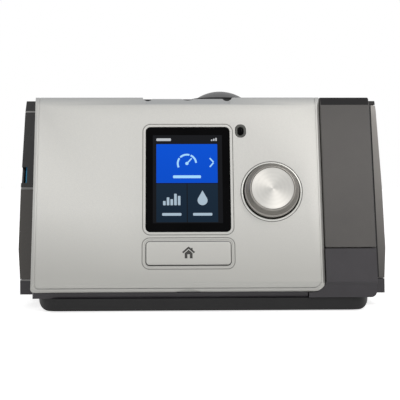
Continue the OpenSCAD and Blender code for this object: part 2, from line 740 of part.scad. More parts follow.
// Filter cover at the back with its louvres, and the filter behind it
filter_hinge_y = back_y - 2;
filter_hinge_z = filter_z0 + 2.3;
cover_t = 2;
filter_gap = 0.3;
module filter_cover() color(dark_grey) {
    difference() {
        block([filter_x0 + filter_gap, back_y - cover_t, filter_hinge_z], [filter_x0 + filter_w - filter_gap, back_y, filter_z0 + filter_h - filter_gap]);
        for (k = [0:5]) block([filter_x0 + 7, back_y - 3, filter_z0 + 11 + 7 * k], [filter_x0 + filter_w - 7, back_y + 1, filter_z0 + 14.5 + 7 * k]);
        translate([filter_x0 - 1, filter_hinge_y, filter_hinge_z]) rotate([0, 90, 0]) cylinder(d = pin_dia + 2 * pin_gap, h = filter_w + 2);
    }
    translate([filter_x0 + filter_gap, filter_hinge_y, filter_hinge_z]) rotate([0, 90, 0]) difference() {
        cylinder(r = 2, h = filter_w - 2 * filter_gap);
        translate([0, 0, -1]) cylinder(d = pin_dia + 2 * pin_gap, h = filter_w + 2);
    }
}
module filter_hinge_pin() color(steel) translate([filter_x0 - wall + 0.2, filter_hinge_y, filter_hinge_z])
    rotate([0, 90, 0]) cylinder(d = pin_dia, h = filter_w + 2 * wall - 0.4);
frame_y0 = back_y - filter_depth;
filter_top = filter_z0 + filter_h;
module filter_frame() color(white_plastic) difference() {
    block([filter_x0, frame_y0, filter_z0], [filter_x0 + filter_w, back_y - 5, filter_top]);
    block([filter_x0 + 1.6, frame_y0 - 1, filter_z0 + 1.6], [filter_x0 + filter_w - 1.6, far, filter_top - 1.6]);
}
module air_filter() color("#eceeee") block([filter_x0 + 1.9, frame_y0 + 0.2, filter_z0 + 1.6],
    [filter_x0 + filter_w - 1.9, back_y - 6, filter_top - 1.9]);

// Power inlet in its recess at the back, the cord clip over it and the board behind it
inlet_dia = 12;
inlet_x = (rear_pocket_x[0] + rear_pocket_x[1]) / 2;
inlet_z = 27.5;
clip_y = back_y - 2.4;
clip_z = rear_pocket_z[1] - 2.6;
clip_r = 2.2;
module power_inlet() color("#2a2a2c") translate([inlet_x, 0, inlet_z]) rotate([-90, 0, 0]) difference() {
    union() {
        translate([0, 0, rear_pocket_y - 14]) cylinder(d = inlet_dia, h = 14);
        translate([0, 0, rear_pocket_y]) cylinder(d = inlet_dia + 2, h = 1.2);
        translate([0, 0, rear_pocket_y - 12]) cylinder(d = power_bore - 2, h = 12);
    }
    translate([0, 0, rear_pocket_y - 11]) difference() {
        cylinder(d = power_bore, h = 20);
        cylinder(d = 1.4, h = 9);
    }
}
module retention_clip() color(warm_grey) difference() {
    union() {
        translate([rear_pocket_x[0] + 0.4, clip_y, clip_z]) rotate([0, 90, 0])
            cylinder(r = clip_r, h = rear_pocket_x[1] - rear_pocket_x[0] - 0.8);
        block([rear_pocket_x[0] + 0.4, back_y - 2.6, rear_pocket_z[0] + 2], [rear_pocket_x[0] + 4.4, back_y - 0.4, clip_z]);
        block([rear_pocket_x[1] - 4.4, back_y - 2.6, rear_pocket_z[0] + 2], [rear_pocket_x[1] - 0.4, back_y - 0.4, clip_z]);
    }
    translate([-far / 2, clip_y, clip_z]) rotate([0, 90, 0]) cylinder(d = pin_dia + 2 * pin_gap, h = far);
}
module clip_pin() color(steel) translate([rear_pocket_x[0] - 1.8, clip_y, clip_z]) rotate([0, 90, 0])
    cylinder(d = pin_dia, h = rear_pocket_x[1] - rear_pocket_x[0] + 3.6);
module power_board() color(board_green) {
    board_y = rear_pocket_y - 14;
    block([rear_pocket_x[0] - 34, board_y - 1.6, floor_z], [rear_pocket_x[1], board_y, blower_z - 9]);
    block([rear_pocket_x[0] - 30, board_y - 10, split_z], [rear_pocket_x[0] - 14, board_y - 1.6, blower_z - 11]);
    block([rear_pocket_x[1] - 10, board_y - 12, split_z], [rear_pocket_x[1] + 2, board_y - 1.6, blower_z - 12]);
}

// Muffler box on its legs, with the lid, the foam and the blower inside
floor_z = base_z + floor_t;
box_wall = 2;
volute_r = impeller_dia / 2 + 8;
blower_split = blower_z + 13;
blower_top = blower_split + 14;
box_back = back_y - filter_depth - wall - 1.8;
blower_y = box_back - box_wall - 2 - volute_r;
box0 = [-half_w + 14.5, blower_y - volute_r - 6, blower_z - 8];
box1 = [bay_x - 8, box_back, blower_top + 5];
blower_x = (box0[0] + box1[0]) / 2 + 3;
duct_r = 9;
duct_bore = 7.5;
port_y = [blower_y + volute_r - 10, 12];
port_z = [blower_z + 20, outlet_z];
module muffler_box() color("#8d8f92") {
    difference() {
        block(box0, box1);
        block(box0 + [box_wall, box_wall, box_wall], box1 - [box_wall, box_wall, -1]);
        block([box0[0] + 8, box1[1] - 4, box0[2] + 8], [box0[0] + 40, box1[1] + 1, box1[2] - 6]);
        translate([0, port_y[0], port_z[0]]) rotate([0, 90, 0]) cylinder(r = duct_r + 0.1, h = far);
    }
    for (x = [box0[0] + 7, box1[0] - 4], y = [box0[1] + 6, box1[1] - 5])
        translate([x, y, floor_z]) cylinder(r = 3, h = box0[2] - floor_z);
}
module muffler_lid() color("#8d8f92") {
    block([box0[0], box0[1], box1[2]], box1 + [0, 0, 2]);
    block([box0[0] + box_wall + 0.2, box0[1] + box_wall + 0.2, box1[2] - 2], [box0[0] + box_wall + 3, box1[1] - box_wall - 0.2, box1[2]]);
}
module muffler_foam() color("#2f3033") {
    block(box0 + [box_wall, box_wall, box_wall], [box0[0] + 14, box1[1] - box_wall, box1[2] - 2.3]);
    difference() {
        block([box0[0] + 14, box0[1] + box_wall, box0[2] + box_wall], [box1[0] - box_wall, box1[1] - box_wall, blower_z]);
        mounts(0.3);
    }
}
mount_r = 24;
module mounts(g) translate([blower_x, blower_y, box0[2] + box_wall]) for (a = [30, 150, 270])
    rotate([0, 0, a]) translate([mount_r, 0, 0]) cylinder(r = 5 + g, h = blower_z - box0[2] - box_wall);
module blower_suspension() color(rubber_black) mounts(0);

// Blower: two volute halves, stator on its tube, outer rotor on a shaft, and the impeller
tube_r = 7;
bearing_r = 5;
shaft_r = 1.5;
module at_blower(z) translate([blower_x, blower_y, z]) children();
module duct_cut(r) translate([blower_x, port_y[0], port_z[0]]) rotate([0, 90, 0]) cylinder(r = r, h = far);
module blower_lower() color("#55575b") difference() {
    union() {
        at_blower(blower_z) difference() {
            cylinder(r = volute_r, h = blower_split - blower_z);
            translate([0, 0, 2]) cylinder(r = volute_r - 2, h = 30);
        }
        at_blower(blower_z) cylinder(r = tube_r, h = 11);
    }
    at_blower(blower_z + 2) cylinder(r = bearing_r, h = 20);
    duct_cut(duct_r + 0.1);
}
module blower_upper() color("#6b6d71") difference() {
    at_blower(blower_split) cylinder(r = volute_r, h = blower_top - blower_split);
    at_blower(blower_split - 1) cylinder(r = volute_r - 2, h = blower_top - blower_split - 1);
    at_blower(blower_split) cylinder(r = impeller_dia / 4, h = 30);
    duct_cut(duct_r + 0.1);
}
module motor_stator() color("#9a5b34") at_blower(blower_z + 2) difference() {
    cylinder(r = 15, h = 7);
    translate([0, 0, -1]) cylinder(r = tube_r, h = 20);
    for (a = [0:60:300]) rotate([0, 0, a]) translate([12, 0, -1]) cylinder(r = 2, h = 20);
}
module bearings() color(steel) for (z = [0, 6]) at_blower(blower_z + 2 + z) difference() {
    cylinder(r = bearing_r, h = 3);
    translate([0, 0, -1]) cylinder(r = shaft_r + 0.05, h = 9);
}
cup_top = blower_z + 13;
module rotor_shaft() color(steel) {
    at_blower(blower_z + 2.4) cylinder(r = shaft_r, h = blower_top - blower_z - 5);
    at_blower(blower_z + 3.5) difference() {
        cylinder(r = 18, h = cup_top - blower_z - 3.5);
        translate([0, 0, -1]) cylinder(r = 15.6, h = cup_top - blower_z - 3.5);
    }
}
module impeller() color(white_plastic) at_blower(cup_top) difference() {
    union() {
        cylinder(r = impeller_dia / 2, h = 1.4);
        cylinder(r = 5, h = 8.5);
        for (k = [0:blades - 1]) rotate([0, 0, k * 360 / blades]) translate([4, -0.5, 1])
            rotate([0, 0, 16]) cube([impeller_dia / 2 - 5, 1, 6.5]);
    }
    translate([0, 0, -1]) cylinder(r = shaft_r, h = 20);
}

// Tube with the flow sensor, from the blower through the box to the humidifier bay
stub = 4;
module flow_sensor_tube() color(white_plastic) difference() {
    union() {
        translate([blower_x + 12, port_y[0], port_z[0]]) rotate([0, 90, 0]) cylinder(r = duct_r, h = bay_x + stub - blower_x - 12);
        block([-8, port_y[0] - 6, port_z[0]], [8, port_y[0] + 4, port_z[0] + duct_r + 1.4]);
    }
    translate([blower_x, port_y[0], port_z[0]]) rotate([0, 90, 0]) cylinder(r = duct_bore, h = far);
    at_blower(0) cylinder(r = volute_r - 2, h = far);
}

// Wall between the machine and the humidifier bay, with its two ports
module bay_wall() color(dark_grey) difference() {
    intersection() {
        across(bay_x - 2, bay_x) case_profile(wall);
        block([-far, -far, floor_z], [far, far, roof_z]);
    }
    for (k = [0, 1]) translate([0, port_y[k], port_z[k]]) rotate([0, 90, 0]) cylinder(r = duct_r + 0.1, h = far);
    translate([start_x, start_y, start_seat - 3]) cylinder(d = start_dia + 5, h = far);
}

// Elbow from the upper port to the air outlet, the outlet itself and its seal
outlet_y0 = overall_d / 2 - outlet_l;
outlet_collar = outlet_dia / 2 + 1.2;
module elbow(r, x1, y1) {
    translate([outlet_x, port_y[1], port_z[1]]) {
        sphere(r);
        rotate([0, 90, 0]) cylinder(r = r, h = x1 - outlet_x);
        rotate([-90, 0, 0]) cylinder(r = r, h = y1 - port_y[1]);
    }
}
module outlet_duct() color(white_plastic) difference() {
    elbow(duct_r, bay_x + stub, outlet_y0);
    elbow(duct_bore, far, far);
}
flange_r = outlet_dia / 2 + 3.6;
module air_outlet() color("#4c4c50") translate([outlet_x, 0, outlet_z]) rotate([-90, 0, 0]) difference() {
    union() {
        translate([0, 0, outlet_y0]) cylinder(d = outlet_dia, h = outlet_l);
        translate([0, 0, outlet_y0]) cylinder(r = flange_r, h = 1.6);
        translate([0, 0, outlet_y0]) cylinder(r = outlet_collar, h = 3.2);
    }
    translate([0, 0, outlet_y0 - 1]) cylinder(r = outlet_dia / 2 - 2, h = far);
}
module outlet_seal() color(rubber_black) translate([outlet_x, outlet_y0 + 1.6, outlet_z]) rotate([-90, 0, 0]) difference() {
    cylinder(r = flange_r, h = 1.4);
    translate([0, 0, -1]) cylinder(r = outlet_collar, h = 4);
}

// Humidifier base on the right, with the warming plate on its insulator
deck_x0 = bay_x + 0.3;
deck_x1 = bay_right - 0.4;
plate0 = [bay_x + 11, front_y + 53];
plate1 = [bay_right - 8.3, back_y - 26];
module heater_deck() color("#333335") difference() {
    union() {
        difference() {
            across(deck_x0, deck_x1) deck_profile(0);
            across(deck_x0 + wall, deck_x1 - wall) deck_profile(wall);
        }
        for (p = deck_sites) translate([p[0], p[1], split_z + seam / 2]) cylinder(r = post_r, h = deck_z - split_z - seam);
    }
    block([plate0[0], plate0[1], 0], [plate1[0], plate1[1], far]);
    for (p = deck_sites) translate([p[0], p[1], 0]) cylinder(d = screw_dia + 0.1, h = split_z + post_h - 1);
}
module deck_profile(i) intersection() {
    case_profile(wall + 0.3 + i);
    translate([-far, split_z + seam / 2 - (i > 0 ? 9 : 0)]) square([2 * far, deck_z - split_z - seam / 2 - i + (i > 0 ? 9 : 0)]);
}
module heater_plate() color("#c3c6c8") block([plate0[0] + 0.3, plate0[1] + 0.3, deck_z - wall], [plate1[0] - 0.3, plate1[1] - 0.3, deck_z + 0.8]);
module heater_insulator() color("#b9ad92") block([plate0[0] - 4, plate0[1] - 2.5, deck_z - wall - 5], [plate1[0] + 4, plate1[1] + 3, deck_z - wall]);

// Side cover: front panel and side plate in one moulding
cover_z0 = deck_z + seam / 2;
cover_z1 = roof_z - seam;
module side_cover() color(warm_grey) {
    difference() {
        intersection() {
            module_solid(0, panel_left, module_half);
            block([-half_w, -far, cover_z0], [half_w, far, far]);
            across(-half_w, half_w) polygon([[ear_y(0) - seam, 0], [ear_y(far) - seam, far], [-far, far], [-far, 0]]);
        }
        intersection() {
            module_solid(wall, panel_left, module_half);
            block([-half_w, -far, cover_z0 + wall], [half_w, far, far]);
        }
        across(panel_left + wall, module_half - wall)
            polygon([[ear_y(0) - 3, 0], [ear_y(far) - 3, far], [far, far], [far, 0]]);
    }
    across(bay_right - wall, bay_right) intersection() {
        union() {
            case_profile(wall + 0.4);
            polygon([[face_y(0) + 6, 0], [face_y(far) + 6, far], [ear_y(far) + 6, far], [ear_y(0) + 6, 0]]);
        }
        translate([-far, cover_z0]) square([2 * far, cover_z1 - cover_z0]);
    }
}
module side_flank() color(flank_grey) difference() {
    intersection() {
        case_solid(0);
        block([bay_right, -far, split_z + seam / 2], [far, far, cover_z1]);
    }
    intersection() {
        case_solid(wall);
        block([bay_right - 1, -far, split_z + wall], [far, far, cover_z1 - wall]);
    }
}
leg_x0 = bay_x + stub + 1;
leg_x1 = bay_x + 40;
leg_r = 12;
module side_duct() color("#56565a") difference() {
    union() {
        for (k = [0, 1]) translate([leg_x0, port_y[k], port_z[k]]) rotate([0, 90, 0]) cylinder(r = leg_r, h = leg_x1 - leg_x0);
        block([leg_x1, port_y[1] - leg_r, port_z[0] - leg_r], [bay_right - wall, port_y[0] + leg_r, port_z[1] + leg_r]);
    }
    for (k = [0, 1]) translate([leg_x0 - 1, port_y[k], port_z[k]]) rotate([0, 90, 0]) cylinder(r = duct_r + 0.4, h = leg_x1 - leg_x0 + 4);
    block([leg_x1 + 2, port_y[1] - leg_r + 2, port_z[0] - leg_r + 2], [bay_right - wall - 2, port_y[0] + leg_r - 2, port_z[1] + leg_r - 2]);
}
module side_seals() color("#7b4a3c") for (k = [0, 1]) translate([bay_x + 0.3, port_y[k], port_z[k]]) rotate([0, 90, 0]) difference() {
    cylinder(r = leg_r, h = leg_x0 - bay_x - 0.3);
    translate([0, 0, -1]) cylinder(r = duct_r + 0.4, h = 20);
}

lower_case();
upper_case();
foot_plinth();
rubber_feet();
front_fascia();
base_front_panel();
display_lens();
lcd_panel();
display_gasket();
dial_ring();
light_sensor_window();
main_board();
dial_encoder();
home_switch();
start_switch_board();
start_button_ring();
card_socket();
speaker();
power_inlet();
power_board();
adapter_connector();
blower_lower();
blower_upper();
motor_stator();
blower_suspension();
muffler_box();
muffler_lid();
muffler_foam();
flow_sensor_tube();
bay_wall();
outlet_duct();
air_outlet();
outlet_seal();
heater_deck();
heater_plate();
heater_insulator();
filter_frame();
air_filter();
door_hinge_pins();
filter_hinge_pin();
clip_pin();
case_screws();
bearings();
dial_plunger();
dial_knob();
dial_cap();
home_button();
start_button();
card_cover();
memory_card();
adapter_cover();
filter_cover();
retention_clip();
side_cover();
side_flank();
side_duct();
side_seals();
impeller();
rotor_shaft();
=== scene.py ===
import json
import math
import bmesh
import bpy
import numpy as np
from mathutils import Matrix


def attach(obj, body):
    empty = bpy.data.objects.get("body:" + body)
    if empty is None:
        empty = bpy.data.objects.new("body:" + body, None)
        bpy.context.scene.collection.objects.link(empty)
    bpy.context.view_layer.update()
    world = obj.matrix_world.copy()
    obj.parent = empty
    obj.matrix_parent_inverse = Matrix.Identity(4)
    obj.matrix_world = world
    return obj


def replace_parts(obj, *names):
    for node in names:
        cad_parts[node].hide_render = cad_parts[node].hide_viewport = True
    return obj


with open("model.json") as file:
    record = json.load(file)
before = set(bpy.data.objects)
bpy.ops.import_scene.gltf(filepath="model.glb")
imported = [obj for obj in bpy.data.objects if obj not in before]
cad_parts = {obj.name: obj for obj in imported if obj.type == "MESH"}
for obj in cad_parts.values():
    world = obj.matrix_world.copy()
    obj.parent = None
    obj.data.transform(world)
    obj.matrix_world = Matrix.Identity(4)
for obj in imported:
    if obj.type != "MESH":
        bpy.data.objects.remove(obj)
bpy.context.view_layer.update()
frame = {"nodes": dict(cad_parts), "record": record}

nodes = frame["nodes"]
mm = 0.001
print("stage: frame loaded,", len(nodes), "nodes")


# The leaning front as the frame has it, in mm and degrees
front = dict(creaseY=-75.0, creaseZ=16.0, lean=15.0)
leanSin = math.sin(math.radians(front["lean"]))
leanCos = math.cos(math.radians(front["lean"]))


# Point on the leaning front: x across, v up the face from its crease, proud out of it; mm in, m out
def onFace(x, v, proud):
    x, v, proud = np.broadcast_arrays(np.asarray(x, float), np.asarray(v, float), np.asarray(proud, float))
    y = front["creaseY"] + v * leanSin - proud * leanCos
    z = front["creaseZ"] + v * leanCos + proud * leanSin
    return np.stack([x, y, z], axis=-1) * mm


print("stage: camera")
cameraSetup = dict(place=(-18.0, -646.5, 71.4), lens=97.2, sensor=36.0, yaw=1.563, pitch=-1.171, roll=-0.152, nearest=10.0)


def makeCamera():
    c = cameraSetup
    data = bpy.data.cameras.new("photoCamera")
    data.lens = c["lens"]
    data.sensor_width = c["sensor"]
    data.clip_start = c["nearest"] * mm
    camera = bpy.data.objects.new("photoCamera", data)
    camera.location = [place * mm for place in c["place"]]
    camera.rotation_euler = [math.radians(angle) for angle in (90 + c["pitch"], -c["roll"], -c["yaw"])]
    bpy.context.scene.collection.objects.link(camera)
    bpy.context.scene.camera = camera


makeCamera()
bpy.context.scene.view_settings.view_transform = "Standard"


# sRGB hex text to linear colour, each channel ((c + 0.055) / 1.055) ** 2.4 above the toe
def linear(hexText):
    value = np.array([int(hexText[i:i + 2], 16) for i in (1, 3, 5)]) / 255
    colour = np.where(value <= 0.04045, value / 12.92, ((value + 0.055) / 1.055) ** 2.4)
    return (*[float(c) for c in colour], 1.0)


# One node with its settings (attributes, input values or the stops of a ramp) and the links into it
def addNode(tree, kind, settings=None, links=None):
    node = tree.nodes.new(kind)
    for name, value in (settings or {}).items():
        if name == "stops":
            for point, (place, colour) in zip(node.color_ramp.elements, value):
                point.position = place
                point.color = linear(colour)
        elif isinstance(name, int) or name in node.inputs:
            node.inputs[name].default_value = value
        else:
            setattr(node, name, value)
    for name, socket in (links or {}).items():
        tree.links.new(socket, node.inputs[name])
    return node


def newMaterial(name, settings):
    material = bpy.data.materials.new(name)
    material.use_nodes = True
    tree = material.node_tree
    surface = tree.nodes["Principled BSDF"]
    for key, value in settings.items():
        surface.inputs[key].default_value = value
    return material, tree, surface


# Object coordinates, read from a centre in mm and turned if need be
def objectPlace(tree, centre=(0, 0, 0), turn=(0, 0, 0)):
    coord = addNode(tree, "ShaderNodeTexCoord")
    moved = addNode(tree, "ShaderNodeMapping",
                    {"vector_type": "TEXTURE", "Location": [c * mm for c in centre], "Rotation": turn},
                    {"Vector": coord.outputs["Object"]})
    return moved.outputs["Vector"]


# Lets patterns drive a surface: its tone, its roughness between two values and its relief of a height in mm
def applyPatterns(tree, surface, tone, rough=None, relief=None):
    tree.links.new(tone, surface.inputs["Base Color"])
    if rough:
        pattern, low, high = rough
        spread = addNode(tree, "ShaderNodeMapRange", {"To Min": low, "To Max": high}, {"Value": pattern})
        tree.links.new(spread.outputs["Result"], surface.inputs["Roughness"])
    if relief:
        pattern, height = relief
        raised = addNode(tree, "ShaderNodeBump", {"Strength": 1.0, "Distance": height * mm}, {"Height": pattern})
        tree.links.new(raised.outputs["Normal"], surface.inputs["Normal"])


# Painted shade: a second colour laid over the tone where the surface turns up, by the Z of its normal, standing in for
# how light falls on upturned faces
def paintedShadeOnTop(tree, tone, shade, low=0.4, high=0.72):
    coord = addNode(tree, "ShaderNodeTexCoord")
    axis = addNode(tree, "ShaderNodeSeparateXYZ", links={"Vector": coord.outputs["Normal"]})
    up = addNode(tree, "ShaderNodeMapRange", {"From Min": low, "From Max": high}, {"Value": axis.outputs["Z"]})
    mixed = addNode(tree, "ShaderNodeMix", {"data_type": "RGBA", 7: linear(shade)}, {0: up.outputs["Result"], 6: tone})
    return mixed.outputs[2]


# Painted shade, darker towards the foot: all of it at the first height in mm, none at the second
def paintedShadeToFoot(tree, place, tone, foot):
    low, high, shade = foot
    axis = addNode(tree, "ShaderNodeSeparateXYZ", links={"Vector": place})
    up = addNode(tree, "ShaderNodeMapRange", {"From Min": low * mm, "From Max": high * mm}, {"Value": axis.outputs["Z"]})
    mixed = addNode(tree, "ShaderNodeMix", {"data_type": "RGBA", 6: linear(shade)}, {0: up.outputs["Result"], 7: tone})
    return mixed.outputs[2]


# ABS moulded in a spark-eroded tool: an even matte grain that breaks up highlights, with slight clouding 18 mm across
# Crown and foot lay painted shade over the tone: on upturned faces, and towards the foot
def mouldedPlastic(name, colour, paler, roughness=0.55, grainMm=0.45, grainDepth=0.02, shine=0.5, crown=None, foot=None):
    material, tree, surface = newMaterial(name, {"IOR": 1.5, "Specular IOR Level": shine})
    place = objectPlace(tree)
    grain = addNode(tree, "ShaderNodeTexNoise", {"Scale": 1 / (grainMm * mm), "Detail": 2.0, "Roughness": 0.55},
                    {"Vector": place})
    cloud = addNode(tree, "ShaderNodeTexNoise", {"Scale": 1 / (18.0 * mm), "Detail": 3.0}, {"Vector": place})
    mixed = addNode(tree, "ShaderNodeMath", {"operation": "MULTIPLY_ADD", 1: 0.5},
                    {0: grain.outputs["Fac"], 2: cloud.outputs["Fac"]})
    ramp = addNode(tree, "ShaderNodeValToRGB", {"stops": [(0.4, colour), (1.0, paler)]}, {"Fac": mixed.outputs[0]})
    tone = ramp.outputs["Color"]
    # Painted shade where the surface turns up
    if crown:
        tone = paintedShadeOnTop(tree, tone, crown)
    # Painted shade towards the foot
    if foot:
        tone = paintedShadeToFoot(tree, place, tone, foot)
    applyPatterns(tree, surface, tone, (cloud.outputs["Fac"], roughness - 0.05, roughness + 0.07),
                  (grain.outputs["Fac"], grainDepth))
    return material


# Silver lacquer sprayed on moulded ABS: aluminium flake in a satin binder, pale, with a soft metallic sheen
# Painted shade: where the surface turns up, a greyer edge colour is laid over the tone, so the broken top edge looks
# greyer
def silverLacquer(name, colour, paler, metallic=0.45, roughness=0.42, edge="#9a9da0", foot=None):
    material, tree, surface = newMaterial(name, {"Metallic": metallic, "Coat Weight": 0.12, "Coat Roughness": 0.25})
    place = objectPlace(tree)
    flakeMm = 0.3  # flake is about 0.02 mm and drawn at 0.3 so that it shows
    flake = addNode(tree, "ShaderNodeTexNoise", {"Scale": 1 / (flakeMm * mm), "Detail": 1.0}, {"Vector": place})
    ramp = addNode(tree, "ShaderNodeValToRGB", {"stops": [(0.3, colour), (0.7, paler)]}, {"Fac": flake.outputs["Fac"]})
    tone = ramp.outputs["Color"]
    if foot:
        tone = paintedShadeToFoot(tree, place, tone, foot)
    # Painted shade: the edge colour laid on upturned faces
    tone = paintedShadeOnTop(tree, tone, edge)
    applyPatterns(tree, surface, tone, (flake.outputs["Fac"], roughness - 0.05, roughness + 0.05),
                  (flake.outputs["Fac"], 0.006))
    return material


# Acrylic with a hard, reflection-reducing coat over black print: deep black, faint sharp reflections and waves 14 mm long
def glossBlack(name, colour="#060607", roughness=0.06, shine=0.03):
    material, tree, surface = newMaterial(name, {"IOR": 1.49, "Specular IOR Level": shine})
    place = objectPlace(tree)
    wave = addNode(tree, "ShaderNodeTexNoise", {"Scale": 1 / (14.0 * mm), "Detail": 1.0}, {"Vector": place})
    ramp = addNode(tree, "ShaderNodeValToRGB", {"stops": [(0.3, colour), (0.8, "#0b0b0d")]}, {"Fac": wave.outputs["Fac"]})
    applyPatterns(tree, surface, ramp.outputs["Color"], (wave.outputs["Fac"], roughness, roughness + 0.05))
    return material


# Bare or plated metal: grain of a given length along each axis, so that it can be brushed, drawn or plain
def metal(name, colour, darker, roughness=0.28, grainMm=(0.4, 0.4, 0.4), depth=0.004):
    material, tree, surface = newMaterial(name, {"Metallic": 1.0})
    coord = addNode(tree, "ShaderNodeTexCoord")
    stretch = addNode(tree, "ShaderNodeMapping", {"Scale": [1 / (g * mm) for g in grainMm]},
                      {"Vector": coord.outputs["Object"]})
    line = addNode(tree, "ShaderNodeTexNoise", {"Scale": 1.0, "Detail": 2.0}, {"Vector": stretch.outputs["Vector"]})
    ramp = addNode(tree, "ShaderNodeValToRGB", {"stops": [(0.3, darker), (0.7, colour)]}, {"Fac": line.outputs["Fac"]})
    applyPatterns(tree, surface, ramp.outputs["Color"], (line.outputs["Fac"], roughness - 0.05, roughness + 0.08),
                  (line.outputs["Fac"], depth))
    return material


# Moulded rubber or silicone: dull, with a fine skin
def rubber(name, colour, paler, roughness=0.75):
    return mouldedPlastic(name, colour, paler, roughness, grainMm=0.3, grainDepth=0.015)


# Open cell foam or needled fleece: cells or fibres a fraction of a millimetre across, dull and soft
def fibrous(name, colour, paler, cellMm, depth, sheen):
    material, tree, surface = newMaterial(name, {"Roughness": 0.95, "Sheen Weight": sheen, "Sheen Roughness": 0.5})
    place = objectPlace(tree)
    cell = addNode(tree, "ShaderNodeTexVoronoi", {"Scale": 1 / (cellMm * mm)}, {"Vector": place})
    soft = addNode(tree, "ShaderNodeTexNoise", {"Scale": 1 / (cellMm * 3 * mm), "Detail": 3.0}, {"Vector": place})
    total = addNode(tree, "ShaderNodeMath", {"operation": "ADD"}, {0: cell.outputs["Distance"], 1: soft.outputs["Fac"]})
    ramp = addNode(tree, "ShaderNodeValToRGB", {"stops": [(0.1, colour), (0.75, paler)]}, {"Fac": cell.outputs["Distance"]})
    applyPatterns(tree, surface, ramp.outputs["Color"], relief=(total.outputs[0], depth))
    return material


# Glass fibre circuit board under green solder resist: glossy, with copper tracks showing as paler lines
def circuitBoard(name):
    material, tree, surface = newMaterial(name, {"Roughness": 0.32, "Coat Weight": 0.5})
    sizes = {"Scale": 1.0, "Brick Width": 3.4 * mm, "Row Height": 1.3 * mm, "Mortar Size": 0.18 * mm}
    colours = {"Color1": linear("#0f4a2a"), "Color2": linear("#12532f"), "Mortar": linear("#2f7a4c")}
    track = addNode(tree, "ShaderNodeTexBrick", {**sizes, **colours}, {"Vector": objectPlace(tree)})
    applyPatterns(tree, surface, track.outputs["Color"], relief=(track.outputs["Fac"], 0.03))
    return material


print("stage: materials")
finishes = {
    # Painted shade: the silver front darkens from 54 mm down to 20 mm
    "silver_painted_abs": silverLacquer("silverLacquerOnAbs", "#c5c5c2", "#cfcfcb", foot=(20.0, 54.0, "#b4b4b0")),
    "dark_moulded_abs": mouldedPlastic("sparkGrainCharcoalAbs", "#242425", "#2e2e2f", 0.5, shine=0.3),
    # Painted shade: the side cover's upturned top chamfer takes the near-black crown colour
    "warm_grey_abs": mouldedPlastic("sparkGrainWarmGreyAbs", "#4c4a49", "#575553", 0.45, crown="#161516"),
    # Painted light and shade: the flank runs from pale grey at the top to dark grey at the foot
    "flank_grey_abs": mouldedPlastic("sparkGrainMidGreyAbs", "#bebbb7", "#c8c5c1", 0.55, foot=(5.0, 116.0, "#4d4b4a")),
    "base_black_abs": mouldedPlastic("mouldedBlackAbs", "#131314", "#1c1c1d", 0.5, shine=0.3),
    "black_display_glass": glossBlack("hardCoatedDisplayWindow"),
    "lcd_face": glossBlack("liquidCrystalPanel", "#0a1020", 0.2),
    "brushed_aluminium": metal("spunAluminium", "#e0e0de", "#c4c4c2", 0.3),
    "bright_ring": metal("satinPlatedRing", "#c6c6c2", "#bcbcb8", 0.3, depth=0.001),
    # Painted shade: the knob's upturned faces take the darker edge colour
    "dial_grip": silverLacquer("graphiteLacquerOnAbs", "#8a8782", "#94918c", 0.7, 0.32, edge="#7c7974"),
    "start_key_grey": mouldedPlastic("satinGreyKeyAbs", "#454547", "#515153", 0.42, 0.3, 0.008),
    "door_black": mouldedPlastic("halfGlossBlackAbs", "#0f0f10", "#171718", 0.28, 0.3, 0.006, shine=0.3),
    "door_warm": mouldedPlastic("satinWarmDarkAbs", "#3f3c38", "#4b4743", 0.45, 0.3, 0.01),
    "card_blue": mouldedPlastic("mouldedTealCard", "#1c8fbe", "#2a9fd0", 0.45, 0.3, 0.006),
    "rubber_black": rubber("mouldedBlackRubber", "#161617", "#1f1f20"),
    "seal_silicone": rubber("redBrownSilicone", "#7a3b2a", "#8d4a37", 0.55),
    "steel_pin": metal("drawnSteel", "#b9babb", "#9c9d9f", 0.3, (0.2, 0.2, 3.0)),
    "circuit_board": circuitBoard("greenCircuitBoard"),
    "connector_grey": mouldedPlastic("glassFilledNylonGrey", "#47484b", "#56575a", 0.55),
    "duct_white": mouldedPlastic("mouldedWhiteAbs", "#c9c8c4", "#d6d5d1", 0.45, 0.4, 0.01),
    "blower_grey": mouldedPlastic("glassFilledNylonDark", "#4f5154", "#5e6063", 0.55),
    "foam_dark": fibrous("openCellFoam", "#17171a", "#3b3b40", 0.9, 0.5, 0.2),
    "winding_copper": metal("enamelledCopperWinding", "#b5622e", "#7a3a18", 0.35, (3.0, 0.35, 0.35), 0.05),
    "heater_aluminium": metal("anodisedAluminiumPlate", "#cfd0d1", "#b9babb", 0.38, (6.0, 0.25, 0.25)),
    "insulator_buff": mouldedPlastic("pressedFibreBoard", "#a2916a", "#b5a47c", 0.8, 0.8, 0.05),
    "filter_fleece": fibrous("needledWhiteFleece", "#b9bcbc", "#dcdedd", 0.7, 0.35, 0.4),
}
slotOf = {part["node"]: part["material_slot"] for part in frame["record"]["subparts"]}

# The base and its front panel share one moulded, cooler, darker grey; on the front panel it is painted shade, a darker
# copy of the side cover's grey
paintedShadeBaseGrey = mouldedPlastic("sparkGrainBaseGreyAbs", "#343236", "#3e3c40", 0.45, shine=0.4)
finishOf = dict(lower_case=paintedShadeBaseGrey, base_front_panel=paintedShadeBaseGrey)


# Broken edges on a CAD node, mm and degrees: its triangles are joined, flat faces made whole and sharp edges rounded a little
edgeBreak = dict(width=0.35, angle=28.0, segments=2, weld=0.002, flat=0.4)
edgeWidths = dict(front_fascia=0.3, display_lens=0.2, side_cover=0.7, side_flank=0.7, base_front_panel=0.6, foot_plinth=0.6,
                  case_screws=0.1, door_hinge_pins=0.1, clip_pin=0.1, filter_hinge_pin=0.1, memory_card=0.15, bearings=0.1)


